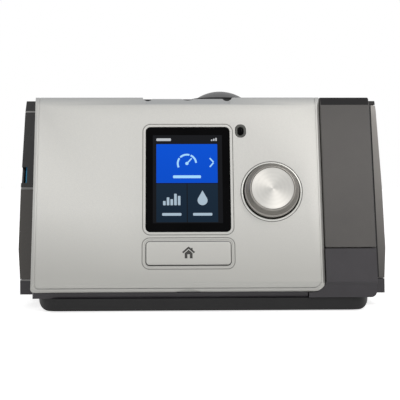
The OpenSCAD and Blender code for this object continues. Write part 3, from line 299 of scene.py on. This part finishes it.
def dressNode(name):
    obj = nodes[name]
    mesh = obj.data
    mesh.materials.clear()
    mesh.materials.append(finishOf.get(name, finishes[slotOf[name]]))
    if "custom_normal" in mesh.attributes:
        mesh.attributes.remove(mesh.attributes["custom_normal"])
    mesh.polygons.foreach_set("use_smooth", np.ones(len(mesh.polygons), bool))
    weld = obj.modifiers.new("joined", "WELD")
    weld.merge_threshold = edgeBreak["weld"] * mm
    flat = obj.modifiers.new("wholeFaces", "DECIMATE")
    flat.decimate_type = "DISSOLVE"
    flat.angle_limit = math.radians(edgeBreak["flat"])
    edge = obj.modifiers.new("brokenEdges", "BEVEL")
    edge.width = edgeWidths.get(name, edgeBreak["width"]) * mm
    edge.segments = edgeBreak["segments"]
    edge.limit_method = "ANGLE"
    edge.angle_limit = math.radians(edgeBreak["angle"])
    edge.harden_normals = True
    edge.use_clamp_overlap = True


for nodeName in nodes:
    dressNode(nodeName)
print("stage: nodes dressed")


# Puts a grid of points (rows, columns, 3) into a mesh piece; the second axis may close on itself
def gridPiece(name, points, body, material, closed=True, closeRows=False, capEnds=False, smooth=True):
    rows, columns = points.shape[:2]
    number = np.arange(rows * columns).reshape(rows, columns)
    if closed:
        number = np.concatenate([number, number[:, :1]], axis=1)
    if closeRows:
        number = np.concatenate([number, number[:1]])
    quads = np.stack([number[:-1, :-1], number[:-1, 1:], number[1:, 1:], number[1:, :-1]], axis=-1).reshape(-1, 4)
    faces = [list(map(int, quad)) for quad in quads]
    if capEnds:
        faces += [[int(i) for i in number[0, :columns]][::-1], [int(i) for i in number[-1, :columns]]]
    return meshPiece(name, points.reshape(-1, 3), faces, body, material, smooth)


# A piece from points and faces, its normals turned outwards, riding on its body and given its material
def meshPiece(name, points, faces, body, material, smooth=True):
    mesh = bpy.data.meshes.new(name)
    mesh.from_pydata(np.asarray(points, float).tolist(), [], faces)
    shape = bmesh.new()
    shape.from_mesh(mesh)
    bmesh.ops.recalc_face_normals(shape, faces=shape.faces)
    shape.to_mesh(mesh)
    shape.free()
    mesh.polygons.foreach_set("use_smooth", np.full(len(mesh.polygons), smooth))
    mesh.materials.append(material)
    obj = bpy.data.objects.new(name, mesh)
    bpy.context.scene.collection.objects.link(obj)
    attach(obj, body)
    return obj


def smoothByAngle(obj, degrees=30.0):
    bpy.context.view_layer.objects.active = obj
    obj.select_set(True)
    bpy.ops.object.shade_smooth_by_angle(angle=math.radians(degrees))
    obj.select_set(False)


# Rounded rectangle as points (n, 2), counter-clockwise: four quarter circles of radius r joined by straight sides
def roundedOutline(x0, v0, x1, v1, r, steps=8):
    turn = np.radians(np.linspace(0, 90, steps + 1))
    centres = np.array([(x1 - r, v1 - r), (x0 + r, v1 - r), (x0 + r, v0 + r), (x1 - r, v0 + r)])
    corners = [centre + r * np.stack([np.cos(turn + k * math.pi / 2), np.sin(turn + k * math.pi / 2)], axis=-1)
               for k, centre in enumerate(centres)]
    return np.concatenate(corners)


# Rounded rectangles stacked up: each level is (inset, proud), and the corner radius shrinks by the inset, down to 0.05 mm
def stackedOutline(box, r, levels, steps=8):
    x0, v0, x1, v1 = box
    rows = []
    for inset, proud in levels:
        ring = roundedOutline(x0 + inset, v0 + inset, x1 - inset, v1 - inset, max(r - inset, 0.05), steps)
        rows.append(onFace(ring[:, 0], ring[:, 1], proud))
    return np.array(rows)


# Profile (radius, proud) turned round an axis that stands on the leaning front at (x, v)
def turnedOnFace(centre, profile, sectors=96):
    angle = np.linspace(0, 2 * math.pi, sectors, endpoint=False)
    radius, proud = np.array(profile, float).T
    x = centre[0] + radius[:, None] * np.cos(angle)
    v = centre[1] + radius[:, None] * np.sin(angle)
    return onFace(x, v, np.repeat(proud[:, None], sectors, axis=1))


# Corners of a profile rounded: each inner point becomes a quadratic curve that starts and ends a set length from it,
# or just short of half way to the next point
def softProfile(points, length, steps=5):
    points = np.array(points, float)
    made = [points[0]]
    for before, corner, after in zip(points[:-2], points[1:-1], points[2:]):
        arms = [before - corner, after - corner]
        reach = [min(length, np.linalg.norm(arm) * 0.48) for arm in arms]
        start, end = (corner + arm / np.linalg.norm(arm) * far for arm, far in zip(arms, reach))
        t = np.linspace(0, 1, steps)[:, None]
        made.extend((1 - t) ** 2 * start + 2 * t * (1 - t) * corner + t ** 2 * end)
    made.append(points[-1])
    return np.array(made)


# Thin plates on the front as one piece: each outline of (x, v) points is given a lower and an upper height
def flatPlates(name, outlines, low, high, body, material):
    points, faces, first = [], [], 0
    for outline in outlines:
        outline = np.array(outline, float)
        count = len(outline)
        points.append(onFace(outline[:, 0], outline[:, 1], low))
        points.append(onFace(outline[:, 0], outline[:, 1], high))
        ring = np.arange(count)
        after = (ring + 1) % count
        walls = np.stack([first + ring, first + after, first + count + after, first + count + ring], axis=-1)
        faces += walls.tolist()
        faces += [(first + ring[::-1]).tolist(), (first + count + ring).tolist()]
        first += 2 * count
    return meshPiece(name, np.concatenate(points), faces, body, material, smooth=False)


# Straight stroke of a given width between two points, as four corners
def stroke(a, b, width):
    a, b = np.array(a, float), np.array(b, float)
    along = (b - a) / np.linalg.norm(b - a)
    side = np.array([-along[1], along[0]]) * width / 2
    return np.array([a - side, b - side, b + side, a + side])


# Band between two radii from one angle to another, in degrees
def arcBand(centre, inner, outer, start, end, steps=28):
    angle = np.radians(np.linspace(start, end, steps))
    ray = np.stack([np.cos(angle), np.sin(angle)], axis=-1)
    return np.array(centre) + np.concatenate([outer * ray, inner * ray[::-1]])


print("stage: dial")
dial = dict(centre=(36.8, 49.7), sunk=1.0, footIn=0.9, baseR=14.9, stepAt=2.6, stepRise=0.35, stepR=14.1, rimR=12.3,
            rimOut=0.35, rimIn=0.1, rimFall=0.5, lipFall=0.02, skirtUp=0.1, proud=7.5, cupDeep=1.6, floorDeep=2.2,
            floorIn=1.2, wall=1.6, innerFoot=1.2, soft=0.45)
disc = dict(radius=11.6, dish=0.35, gap=0.25, below=0.12, edgeIn=0.08, skirtIn=0.05, thick=0.75, hub=0.02, rings=26,
            sectors=96)
ring = dict(inner=15.4, outer=16.7, height=0.5, depth=0.55, innerShare=0.75, crownShare=1.05, outerShare=0.2, soft=0.5)
gapShadowRing = dict(under=0.05, out=0.22, low=-0.1, high=0.04)


# Knob: a cup turned from its skirt up over the step and the drafted side to the rim round the disc, and back down inside
def dialKnob():
    d, discR = dial, disc["radius"]
    corners = [(d["baseR"] - d["footIn"], -d["sunk"]), (d["baseR"], -d["sunk"]), (d["baseR"], d["stepAt"]),
               (d["stepR"], d["stepAt"] + d["stepRise"]), (d["rimR"] + d["rimOut"], d["proud"] - d["rimFall"]),
               (d["rimR"] - d["rimIn"], d["proud"]), (discR, d["proud"] - d["lipFall"]), (discR, d["proud"] - d["cupDeep"]),
               (d["rimR"] - d["floorIn"], d["proud"] - d["floorDeep"]), (d["baseR"] - d["wall"], d["innerFoot"]),
               (d["baseR"] - d["wall"], d["skirtUp"] - d["sunk"])]
    points = turnedOnFace(d["centre"], softProfile(corners, d["soft"]))
    knob = gridPiece("dialKnob", points, "dial", finishes["dial_grip"], closeRows=True)
    smoothByAngle(knob, 40)
    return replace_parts(knob, "dial_knob")


# Disc: a very shallow dish, proud = edge - dish * (1 - (r / R)^2), with a turned-down edge
def spunDisc():
    d, top = disc, dial["proud"]
    r = np.linspace(d["hub"], d["radius"] - d["gap"], d["rings"])
    face = top - d["below"] - d["dish"] * (1 - (r / d["radius"]) ** 2)
    edge = [(d["radius"] - d["edgeIn"], face[-1] - d["below"]), (d["radius"] - d["skirtIn"], top - d["thick"]),
            (d["hub"], top - d["thick"])]
    profile = np.concatenate([np.stack([r, face], axis=-1), edge])
    points = turnedOnFace(dial["centre"], profile, d["sectors"])
    made = gridPiece("spunDisc", points, "dial", spunAluminium(), capEnds=True)
    grainLayer(made.data, d["sectors"], len(profile))
    smoothByAngle(made, 35)
    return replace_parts(made, "dial_cap")


# UV layer for the spun grain: u runs once round and v out along the profile, and a quad over the seam runs on past 1
def grainLayer(mesh, sectors, rows):
    layer = mesh.uv_layers.new(name="grain")
    corner = np.empty(len(mesh.loops), int)
    mesh.loops.foreach_get("vertex_index", corner)
    row, column = np.divmod(corner, sectors)
    column = column.astype(float)
    start = np.empty(len(mesh.polygons), int)
    mesh.polygons.foreach_get("loop_start", start)
    total = np.empty(len(mesh.polygons), int)
    mesh.polygons.foreach_get("loop_total", total)
    owner = np.repeat(np.arange(len(total)), total)
    overSeam = (np.maximum.reduceat(column, start) - np.minimum.reduceat(column, start)) > sectors / 2
    column = np.where(overSeam[owner] & (column < sectors / 2) & (total[owner] == 4), column + sectors, column)
    layer.data.foreach_set("uv", np.stack([column / sectors, row / rows], axis=-1).astype(np.float32).ravel())


# Turned aluminium: grooves in rings, so highlights fan out from the middle as pale wedges
def spunAluminium():
    material, tree, surface = newMaterial("turnedAluminium", {"Metallic": 1.0, "Anisotropic": 0.7, "Roughness": 0.4})
    grooveMm = 0.35  # tool marks are 0.1 mm apart and drawn at 0.35 so that they show
    centre = onFace(*dial["centre"], dial["proud"]) / mm
    place = objectPlace(tree, centre, (math.radians(90 - front["lean"]), 0, 0))
    grooves = {"wave_type": "RINGS", "rings_direction": "Z", "Scale": 0.5 / (grooveMm * mm) / 10, "Distortion": 0.4,
               "Detail": 1.0}
    rings = addNode(tree, "ShaderNodeTexWave", grooves, {"Vector": place})
    ramp = addNode(tree, "ShaderNodeValToRGB", {"stops": [(0.2, "#bbbab6"), (0.8, "#bebdb9")]}, {"Fac": rings.outputs["Fac"]})
    applyPatterns(tree, surface, ramp.outputs["Color"], relief=(rings.outputs["Fac"], 0.0003))
    along = addNode(tree, "ShaderNodeTangent", {"direction_type": "UV_MAP", "uv_map": "grain"})
    tree.links.new(along.outputs["Tangent"], surface.inputs["Tangent"])
    return material


# Ring round the dial: a bead with a rounded crown, let into the front
def dialRing():
    r = ring
    middle = (r["inner"] + r["outer"]) / 2
    corners = [(r["inner"], -r["depth"]), (r["inner"], r["height"] * r["innerShare"]), (middle, r["height"] * r["crownShare"]),
               (r["outer"], r["height"] * r["outerShare"]), (r["outer"], -r["depth"])]
    points = turnedOnFace(dial["centre"], softProfile(corners, r["soft"]))
    bead = gridPiece("dialRing", points, "housing", finishes["bright_ring"], closeRows=True)
    smoothByAngle(bead, 40)
    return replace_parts(bead, "dial_ring")


# Painted shadow: a grey ring laid round the dial ring, showing as a thin line where the gap falls in shade
def dialGapShadow():
    s, edge = gapShadowRing, ring["outer"]
    inner, outer = edge - s["under"], edge + s["out"]
    corners = [(inner, s["low"]), (inner, s["high"]), (outer, s["high"]), (outer, s["low"])]
    tone = rubber("paintedRingShadowGrey", "#5c5b59", "#686765")
    points = turnedOnFace(dial["centre"], corners)
    return gridPiece("dialGapShadow", points, "housing", tone, closeRows=True, smooth=False)


dialKnob()
spunDisc()
dialRing()
dialGapShadow()

print("stage: home key")
homeKey = dict(box=(-31.1, 9.4, 14.1, 22.0), radius=1.8, proud=1.0, depth=2.5, edge=0.35, crown=0.06, crownReach=6.0,
               faceInsets=(1.0, 2.0, 3.5, 5.0, 6.1))
# Each outline is in mm from the sign's centre
house = dict(centre=(-8.5, 15.7), half=3.15, roof=2.9, pitch=0.86, overlap=(0.26, 0.24), line=0.95, thick=0.03,
             chimney=[(1.35, 1.7), (2.15, 1.0), (2.15, 2.75), (1.35, 2.75)],
             walls=[(-2.1, -2.9), (-0.65, -2.9), (-0.65, -0.7), (0.65, -0.7), (0.65, -2.9), (2.1, -2.9), (2.1, -0.05),
                    (0, 1.75), (-2.1, -0.05)])


# Key: rounded rectangles stacked to a softened edge and a slightly crowned face
def makeHomeKey():
    k = homeKey
    bend = np.radians(np.linspace(0, 90, 6))
    edge = [(k["edge"] * (1 - math.cos(a)), k["proud"] - k["crown"] - k["edge"] * (1 - math.sin(a))) for a in bend]
    face = [(inset, k["proud"] - k["crown"] * (1 - min(1, inset / k["crownReach"])) ** 2) for inset in k["faceInsets"]]
    rows = stackedOutline(k["box"], k["radius"], [(0, -k["depth"])] + edge + face)
    key = gridPiece("homeKey", rows, "home_key", finishes["silver_painted_abs"], capEnds=True)
    smoothByAngle(key, 50)
    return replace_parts(key, "home_button")


# Plain house sign printed on the key: roof strokes, a chimney and walls with a doorway
def housePictogram():
    h = house
    x, v = h["centre"]
    over, up = h["overlap"]
    peak = v + h["roof"]
    eave = peak - h["half"] * h["pitch"]
    roof = [stroke((x - h["half"], eave), (x + over, peak + up), h["line"]),
            stroke((x - over, peak + up), (x + h["half"], eave), h["line"])]
    shapes = roof + [np.array(outline) + h["centre"] for outline in (h["chimney"], h["walls"])]
    printed = mouldedPlastic("printedDarkInk", "#2f2e2c", "#393836", 0.5, 0.2, 0.002)
    top = homeKey["proud"]
    return flatPlates("housePictogram", shapes, top - h["thick"], top + h["thick"], "home_key", printed)


makeHomeKey()
housePictogram()

# This stage lays painted shade in the grooves, painted shadow round the home key and beside the flank, and painted
# highlight strips on the left ear
print("stage: seal lips, groove lines and ear strips")
# Each line round a rounded rectangle: its outer box and radius, its width and its upper height, in mm
edgeLines = dict(
    # Painted shade: the two groove lines are grey bands laid in the grooves round the window and the home key
    windowGrooveLine=dict(box=(-33.3, 25.55, 16.3, 88.15), radius=4.45, width=0.42, height=-0.06, tone="grooveShadeGrey"),
    homeGrooveLine=dict(box=(-33.55, 6.95, 16.55, 24.45), radius=4.25, width=0.42, height=-0.06, tone="grooveShadeGrey"),
    # Painted shadow: a black band laid in the gap round the home key
    homeGapShadow=dict(box=(-31.5, 9.0, 14.5, 22.4), radius=2.2, width=0.6, height=-0.25, tone="gapBlack"),
)
lineDepth = 0.1
# The plane behind the front module lies this far behind the face; strips on it start just above it
earFace = dict(behind=29.0, lift=0.01)
# Each flat strip on that plane: x and z range, height of its top, body and tone
earStrips = dict(
    # Painted highlight: three pale strips at the door gaps of the left ear, standing in for lit edges
    doorTopStrip=dict(x=(-101.4, -92.45), z=(109.35, 110.2), top=0.12, body="housing", tone="stripHighlightGrey"),
    doorSplitStrip=dict(x=(-102.7, -92.45), z=(65.1, 66.3), top=0.12, body="housing", tone="stripHighlightGrey"),
    doorFootStrip=dict(x=(-101.6, -92.45), z=(14.45, 15.3), top=0.12, body="housing", tone="stripHighlightGrey"),
    adapterCoverSlot=dict(x=(-96.0, -95.3), z=(48.5, 64.4), top=0.04, body="adapter_door", tone="gapBlack"),
    # Painted shadow: a black strip on the flank beside the front module's side, in the corner where shade falls
    flankShadowStrip=dict(x=(92.5, 98.7), z=(15.6, 113.3), top=0.04, body="side_closure", tone="gapBlack"),
)
lineTones = dict(
    grooveShadeGrey=("dark_moulded_abs", mouldedPlastic("paintedGrooveShadeGrey", "#7c7c79", "#878783", 0.6, 0.2, 0.002)),
    gapBlack=("rubber_black", rubber("darkGapBlackRubber", "#141415", "#1c1c1d")),
    stripHighlightGrey=("start_key_grey", mouldedPlastic("paintedHighlightStripGrey", "#8a8a89", "#979796", 0.5, 0.3, 0.004)),
)


# A line round a rounded rectangle: a band between its outline and the same outline drawn in by the width
def outlineBand(name, line):
    x0, v0, x1, v1 = line["box"]
    wide, high = line["width"], line["height"]
    low = high - lineDepth
    outer = roundedOutline(x0, v0, x1, v1, line["radius"]).T
    inner = roundedOutline(x0 + wide, v0 + wide, x1 - wide, v1 - wide, line["radius"] - wide).T
    rows = np.array([onFace(*outer, low), onFace(*outer, high), onFace(*inner, high), onFace(*inner, low)])
    slotName, material = lineTones[line["tone"]]
    return gridPiece(name, rows, "housing", material, closeRows=True, smooth=False)


# Point at a height z on the plane behind the front module: the face's own plane moved back
def onEar(x, z, lift):
    v = (np.asarray(z, float) - front["creaseZ"] + earFace["behind"] * leanSin) / leanCos
    return onFace(x, v, lift - earFace["behind"])


def earStrip(name, strip):
    (x0, x1), (z0, z1) = strip["x"], strip["z"]
    corners = np.array([(x0, z0), (x1, z0), (x1, z1), (x0, z1)])
    rows = np.array([onEar(*corners.T, earFace["lift"]), onEar(*corners.T, strip["top"])])
    slotName, material = lineTones[strip["tone"]]
    return gridPiece(name, rows, strip["body"], material, capEnds=True, smooth=False)


for lineName, line in edgeLines.items():
    outlineBand(lineName, line)
for stripName, strip in earStrips.items():
    earStrip(stripName, strip)

# Painted shade along the side cover's top edge: a thin dark gloss plate on the chamfer, between two heights
topShadeBand = dict(x=(65.3, 91.8), z=(111.7, 115.75), chamferZ=111.4, chamferRise=4.6, chamferRun=3.4, thick=0.05)


def coverTopShadeBand():
    t = topShadeBand
    along = np.array([t["chamferRun"], t["chamferRise"]])
    out = np.array([-t["chamferRise"], t["chamferRun"]]) / np.hypot(*along)
    startY = front["creaseY"] + (t["chamferZ"] - front["creaseZ"]) * math.tan(math.radians(front["lean"]))
    share = (np.array(t["z"]) - t["chamferZ"]) / t["chamferRise"]
    edges = np.array([startY, t["chamferZ"]]) + share[:, None] * along
    x0, x1 = t["x"]
    rows = [[(x0, *a), (x1, *a), (x1, *b), (x0, *b)] for a, b in (edges, edges + out * t["thick"])]
    band = glossBlack("paintedShadeTopBand", "#161416", 0.35, 0.25)
    return gridPiece("coverTopShadeBand", np.array(rows) * mm, "side_closure", band, capEnds=True, smooth=False)


coverTopShadeBand()

print("stage: start key")
startKey = dict(x=10.3, y=-25.0, radius=14.5, rim=116.0, top=120.9, bottom=112.0, hub=0.02, domeIn=0.35, softIn=0.12,
                softDrop=0.14, rimDrop=0.4, rings=24, sectors=96)


# Start key: a shallow dome, part of a sphere through the rim and the top, with a softened rim and a short skirt
def makeStartKey():
    k = startKey
    rise = k["top"] - k["rim"]
    sphere = (k["radius"] ** 2 + rise ** 2) / (2 * rise)
    r = np.linspace(k["hub"], k["radius"] - k["domeIn"], k["rings"])
    z = k["top"] - sphere + np.sqrt(sphere ** 2 - r ** 2)
    skirt = [(k["radius"] - k["softIn"], z[-1] - k["softDrop"]), (k["radius"], z[-1] - k["rimDrop"]),
             (k["radius"], k["bottom"]), (k["hub"], k["bottom"])]
    radius, height = np.concatenate([np.stack([r, z], axis=-1), skirt]).T[:, :, None]
    angle = np.linspace(0, 2 * math.pi, k["sectors"], endpoint=False)
    x, y, z = np.broadcast_arrays(k["x"] + radius * np.cos(angle), k["y"] + radius * np.sin(angle), height)
    points = np.stack([x, y, z], axis=-1) * mm
    key = gridPiece("startKey", points, "start_key", finishes["start_key_grey"], capEnds=True)
    smoothByAngle(key, 40)
    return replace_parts(key, "start_button")


makeStartKey()

print("stage: display picture")
picture = dict(glass=-0.3, layer=0.015, left=-27.6, right=10.2, low=32.3, high=81.7, tileLeft=-25.7, tileRight=7.6,
               tileLow=32.8, split=54.4, strip=76.6, gap=0.45, glowLow=45.0, glowHigh=95.0)
# Signs in mm on the face: the gauge's centre and arcs, the bars that stand for words, the chart's bars and the drop
signs = dict(gaugeV=65.6, arc=(4.5, 5.5), arcStarts=(206, 136, 66), arcTurn=62, needle=(2.6, 2.9), pen=0.7, hub=0.9,
             blueWord=(7.6, 57.3, 58.9), navyWord=(5.2, 36.4, 37.9), stripWord=(8.0, 78.4, 79.9),
             chevron=[((3.4, 68.6), (5.45, 66.3)), ((3.4, 63.6), (5.45, 66.0))], chevronPen=0.75,
             chartLeft=4.7, chartStep=2.0, barWide=1.4, chartLow=42.2, chartHeights=(2.4, 4.4, 3.4, 6.4, 5.2),
             dropV=44.9, dropR=2.7, dropTip=50.4, dropTurn=(-215, 35),
             levelLeft=4.2, levelStep=1.2, levelWide=0.8, levelRise=0.45)


# Lit pixels behind the window: they give their own colour, under the same glossy coat as the glass
def litPixels(name, colour, upper=None):
    material, tree, surface = newMaterial(name, {"Base Color": linear("#040405"), "Roughness": 0.08,
                                                 "Specular IOR Level": 0.04, "Emission Strength": 1.0})
    place = addNode(tree, "ShaderNodeSeparateXYZ", links={"Vector": objectPlace(tree)})
    up = addNode(tree, "ShaderNodeMapRange", {"From Min": picture["glowLow"] * mm, "From Max": picture["glowHigh"] * mm},
                 {"Value": place.outputs["Z"]})
    ramp = addNode(tree, "ShaderNodeValToRGB", {"stops": [(0.0, colour), (1.0, upper or colour)]},
                   {"Fac": up.outputs["Result"]})
    tree.links.new(ramp.outputs["Color"], surface.inputs["Emission Color"])
    return material


# Bar that stands for a word, centred on x
def wordBar(x, word):
    half, low, high = word
    return roundedOutline(x - half, low, x + half, high, 0.5, 3)


# Plain generic screen: a strip, a wide blue tile with a gauge, and two dark tiles with a chart and a drop
def displayPicture():
    p, s = picture, signs
    base, tile, mark = (p["glass"] + p["layer"] * k for k in (1, 2, 3))
    half, middle = p["gap"] / 2, (p["tileLeft"] + p["tileRight"]) / 2
    left, right = (p["tileLeft"] + middle) / 2, (p["tileRight"] + middle) / 2
    inks = dict(dark=("unlitPixels", "#131417", "#17181b"), blue=("bluePixels", "#0046bd", "#0552d4"),
                navy=("navyPixels", "#142433", "#1b2d3f"), pale=("palePixels", "#a5daff"), slate=("slatePixels", "#a9bccb"),
                white=("whitePixels", "#bfc2c6"))
    lit = {name: litPixels(*ink) for name, ink in inks.items()}
    tiles = [("screenField", (p["left"], p["low"], p["right"], p["high"]), base - 0.02, base, "dark"),
             ("blueTile", (p["tileLeft"], p["split"] + half, p["tileRight"], p["strip"]), base, tile, "blue"),
             ("navyTileLeft", (p["tileLeft"], p["tileLow"], middle - half, p["split"] - half), base, tile, "navy"),
             ("navyTileRight", (middle + half, p["tileLow"], p["tileRight"], p["split"] - half), base, tile, "navy")]
    for name, box, low, high, ink in tiles:
        flatPlates(name, [roundedOutline(*box, 0.3, 3)], low, high, "housing", lit[ink])

    gauge, hub = (middle, s["gaugeV"]), s["hub"]
    onBlue = [arcBand(gauge, *s["arc"], start, start - s["arcTurn"], 14) for start in s["arcStarts"]]
    onBlue += [stroke(gauge, (gauge[0] + s["needle"][0], gauge[1] + s["needle"][1]), s["pen"]),
               roundedOutline(gauge[0] - hub, gauge[1] - hub, gauge[0] + hub, gauge[1] + hub, hub, 5),
               wordBar(middle, s["blueWord"])]
    onBlue += [stroke(a, b, s["chevronPen"]) for a, b in s["chevron"]]
    flatPlates("blueTileSigns", onBlue, tile, mark, "housing", lit["pale"])

    starts = left - s["chartLeft"] + s["chartStep"] * np.arange(len(s["chartHeights"]))
    onNavy = [roundedOutline(x, s["chartLow"], x + s["barWide"], s["chartLow"] + high, 0.25, 2)
              for x, high in zip(starts, s["chartHeights"])]
    turn = np.radians(np.linspace(*s["dropTurn"], 26))
    bowl = np.array((right, s["dropV"])) + s["dropR"] * np.stack([np.cos(turn), np.sin(turn)], axis=-1)
    onNavy += [np.concatenate([bowl, [(right, s["dropTip"])]])] + [wordBar(x, s["navyWord"]) for x in (left, right)]
    flatPlates("navyTileSigns", onNavy, tile, mark, "housing", lit["slate"])

    wide, low, high = s["stripWord"]
    onStrip = [roundedOutline(p["tileLeft"], low, p["tileLeft"] + wide, high, 0.5, 3)]
    for k, x in enumerate(s["levelLeft"] + s["levelStep"] * np.arange(3)):
        onStrip.append(roundedOutline(x, low, x + s["levelWide"], low + s["levelWide"] + s["levelRise"] * k, 0.15, 2))
    flatPlates("stripSigns", onStrip, base, tile, "housing", lit["white"])


displayPicture()

print("stage: light sensor")
# Levels are (inset, proud) from the outside in
sensor = dict(x=20.5, v=84.0, halfX=2.75, halfV=3.55, eyeX=1.5, eyeV=2.1,
              lip=[(0, -2.0), (0, -0.12), (0.12, 0.0), (0.45, 0.0), (0.75, -0.25), (1.15, -0.6), (1.25, -1.4)],
              eye=[(0, -1.2), (0, -0.5), (0.25, -0.28), (0.6, -0.16), (1.0, -0.1), (1.45, -0.08)])


# Ambient light sensor: a dark oval frame whose lip rolls in to a small glossy eye
def lightSensor():
    s = sensor
    frameGrey = mouldedPlastic("sensorFrameGrey", "#5c5d59", "#686965", 0.4, 0.2, 0.003)
    eyeGlass = finishes["black_display_glass"]
    made = []
    for name, halfX, halfV, levels, material in (("sensorFrame", s["halfX"], s["halfV"], s["lip"], frameGrey),
                                                 ("sensorEye", s["eyeX"], s["eyeV"], s["eye"], eyeGlass)):
        box = (s["x"] - halfX, s["v"] - halfV, s["x"] + halfX, s["v"] + halfV)
        rows = stackedOutline(box, halfX, levels, 12)
        made.append(gridPiece(name, rows, "housing", material, capEnds=True))
        smoothByAngle(made[-1], 45)
    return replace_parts(made[0], "light_sensor_window")


lightSensor()

print("stage: floor, backdrop and light")
stageSetup = dict(floorHalf=6.0, floorZ=-0.0002, floorColour="#f4f4f4", floorRoughness=0.9, floorGlow=0.76,
                  worldColour="#ffffff", worldPower=0.34)
lamps = [
    dict(name="keyLight", place=(0.72, -1.15, 1.22), aim=(0.0, 0.0, 0.06), size=0.7, watts=7.1, colour="#fffaf6"),
    dict(name="fillLight", place=(-0.6, -1.35, 1.0), aim=(0.0, 0.0, 0.06), size=0.6, watts=2.6, colour="#fffdfa"),
    dict(name="topLight", place=(0.05, 0.35, 1.3), aim=(0.0, 0.0, 0.05), size=1.0, watts=0.8, colour="#ffffff"),
]


# 1 for a ray that the camera sends, straight or off a glossy surface, and 0 for the others
def seenDirectly(tree, path):
    return addNode(tree, "ShaderNodeMath", {"operation": "MAXIMUM"},
                   {0: path.outputs["Is Camera Ray"], 1: path.outputs["Is Glossy Ray"]}).outputs[0]


# White to the camera, in reflections and through glass, lit plainly by its own colour for everything else
def whiteBackdrop():
    world = bpy.data.worlds.new("paleRoom")
    bpy.context.scene.world = world
    world.use_nodes = True
    tree = world.node_tree
    tree.nodes.clear()
    path = addNode(tree, "ShaderNodeLightPath")
    room = addNode(tree, "ShaderNodeBackground",
                   {"Color": linear(stageSetup["worldColour"]), "Strength": stageSetup["worldPower"]})
    seen = addNode(tree, "ShaderNodeBackground", {"Color": (1, 1, 1, 1), "Strength": 1.0})
    direct = addNode(tree, "ShaderNodeMath", {"operation": "MAXIMUM"},
                     {0: seenDirectly(tree, path), 1: path.outputs["Is Transmission Ray"]})
    pick = addNode(tree, "ShaderNodeMixShader", links={0: direct.outputs[0], 1: room.outputs[0], 2: seen.outputs[0]})
    addNode(tree, "ShaderNodeOutputWorld", links={"Surface": pick.outputs[0]})


# Pale floor: takes the soft shadow, and adds enough of its own light to the camera to read as white
def paleFloor():
    s = stageSetup
    looks = {"Base Color": linear(s["floorColour"]), "Roughness": s["floorRoughness"], "Emission Color": (1, 1, 1, 1)}
    material, tree, surface = newMaterial("paleMattFloor", looks)
    path = addNode(tree, "ShaderNodeLightPath")
    glow = addNode(tree, "ShaderNodeMath", {"operation": "MULTIPLY", 1: s["floorGlow"]}, {0: seenDirectly(tree, path)})
    tree.links.new(glow.outputs[0], surface.inputs["Emission Strength"])
    half, z = s["floorHalf"], s["floorZ"]
    mesh = bpy.data.meshes.new("floor")
    mesh.from_pydata([(-half, -half, z), (half, -half, z), (half, half, z), (-half, half, z)], [], [(0, 1, 2, 3)])
    mesh.materials.append(material)
    floor = bpy.data.objects.new("floor", mesh)
    bpy.context.scene.collection.objects.link(floor)


# Round soft lamp, in metres and watts, turned to face the point it is aimed at
def makeLamp(lamp):
    data = bpy.data.lights.new(lamp["name"], "AREA")
    data.shape = "DISK"
    data.size = lamp["size"]
    data.energy = lamp["watts"]
    data.color = linear(lamp["colour"])[:3]
    obj = bpy.data.objects.new(lamp["name"], data)
    away = np.array(lamp["place"]) - np.array(lamp["aim"])
    obj.location = lamp["place"]
    obj.rotation_euler = (math.atan2(math.hypot(away[0], away[1]), away[2]), 0, math.atan2(away[1], away[0]) + math.pi / 2)
    bpy.context.scene.collection.objects.link(obj)


whiteBackdrop()
paleFloor()
for lamp in lamps:
    makeLamp(lamp)

print("stage: finished")
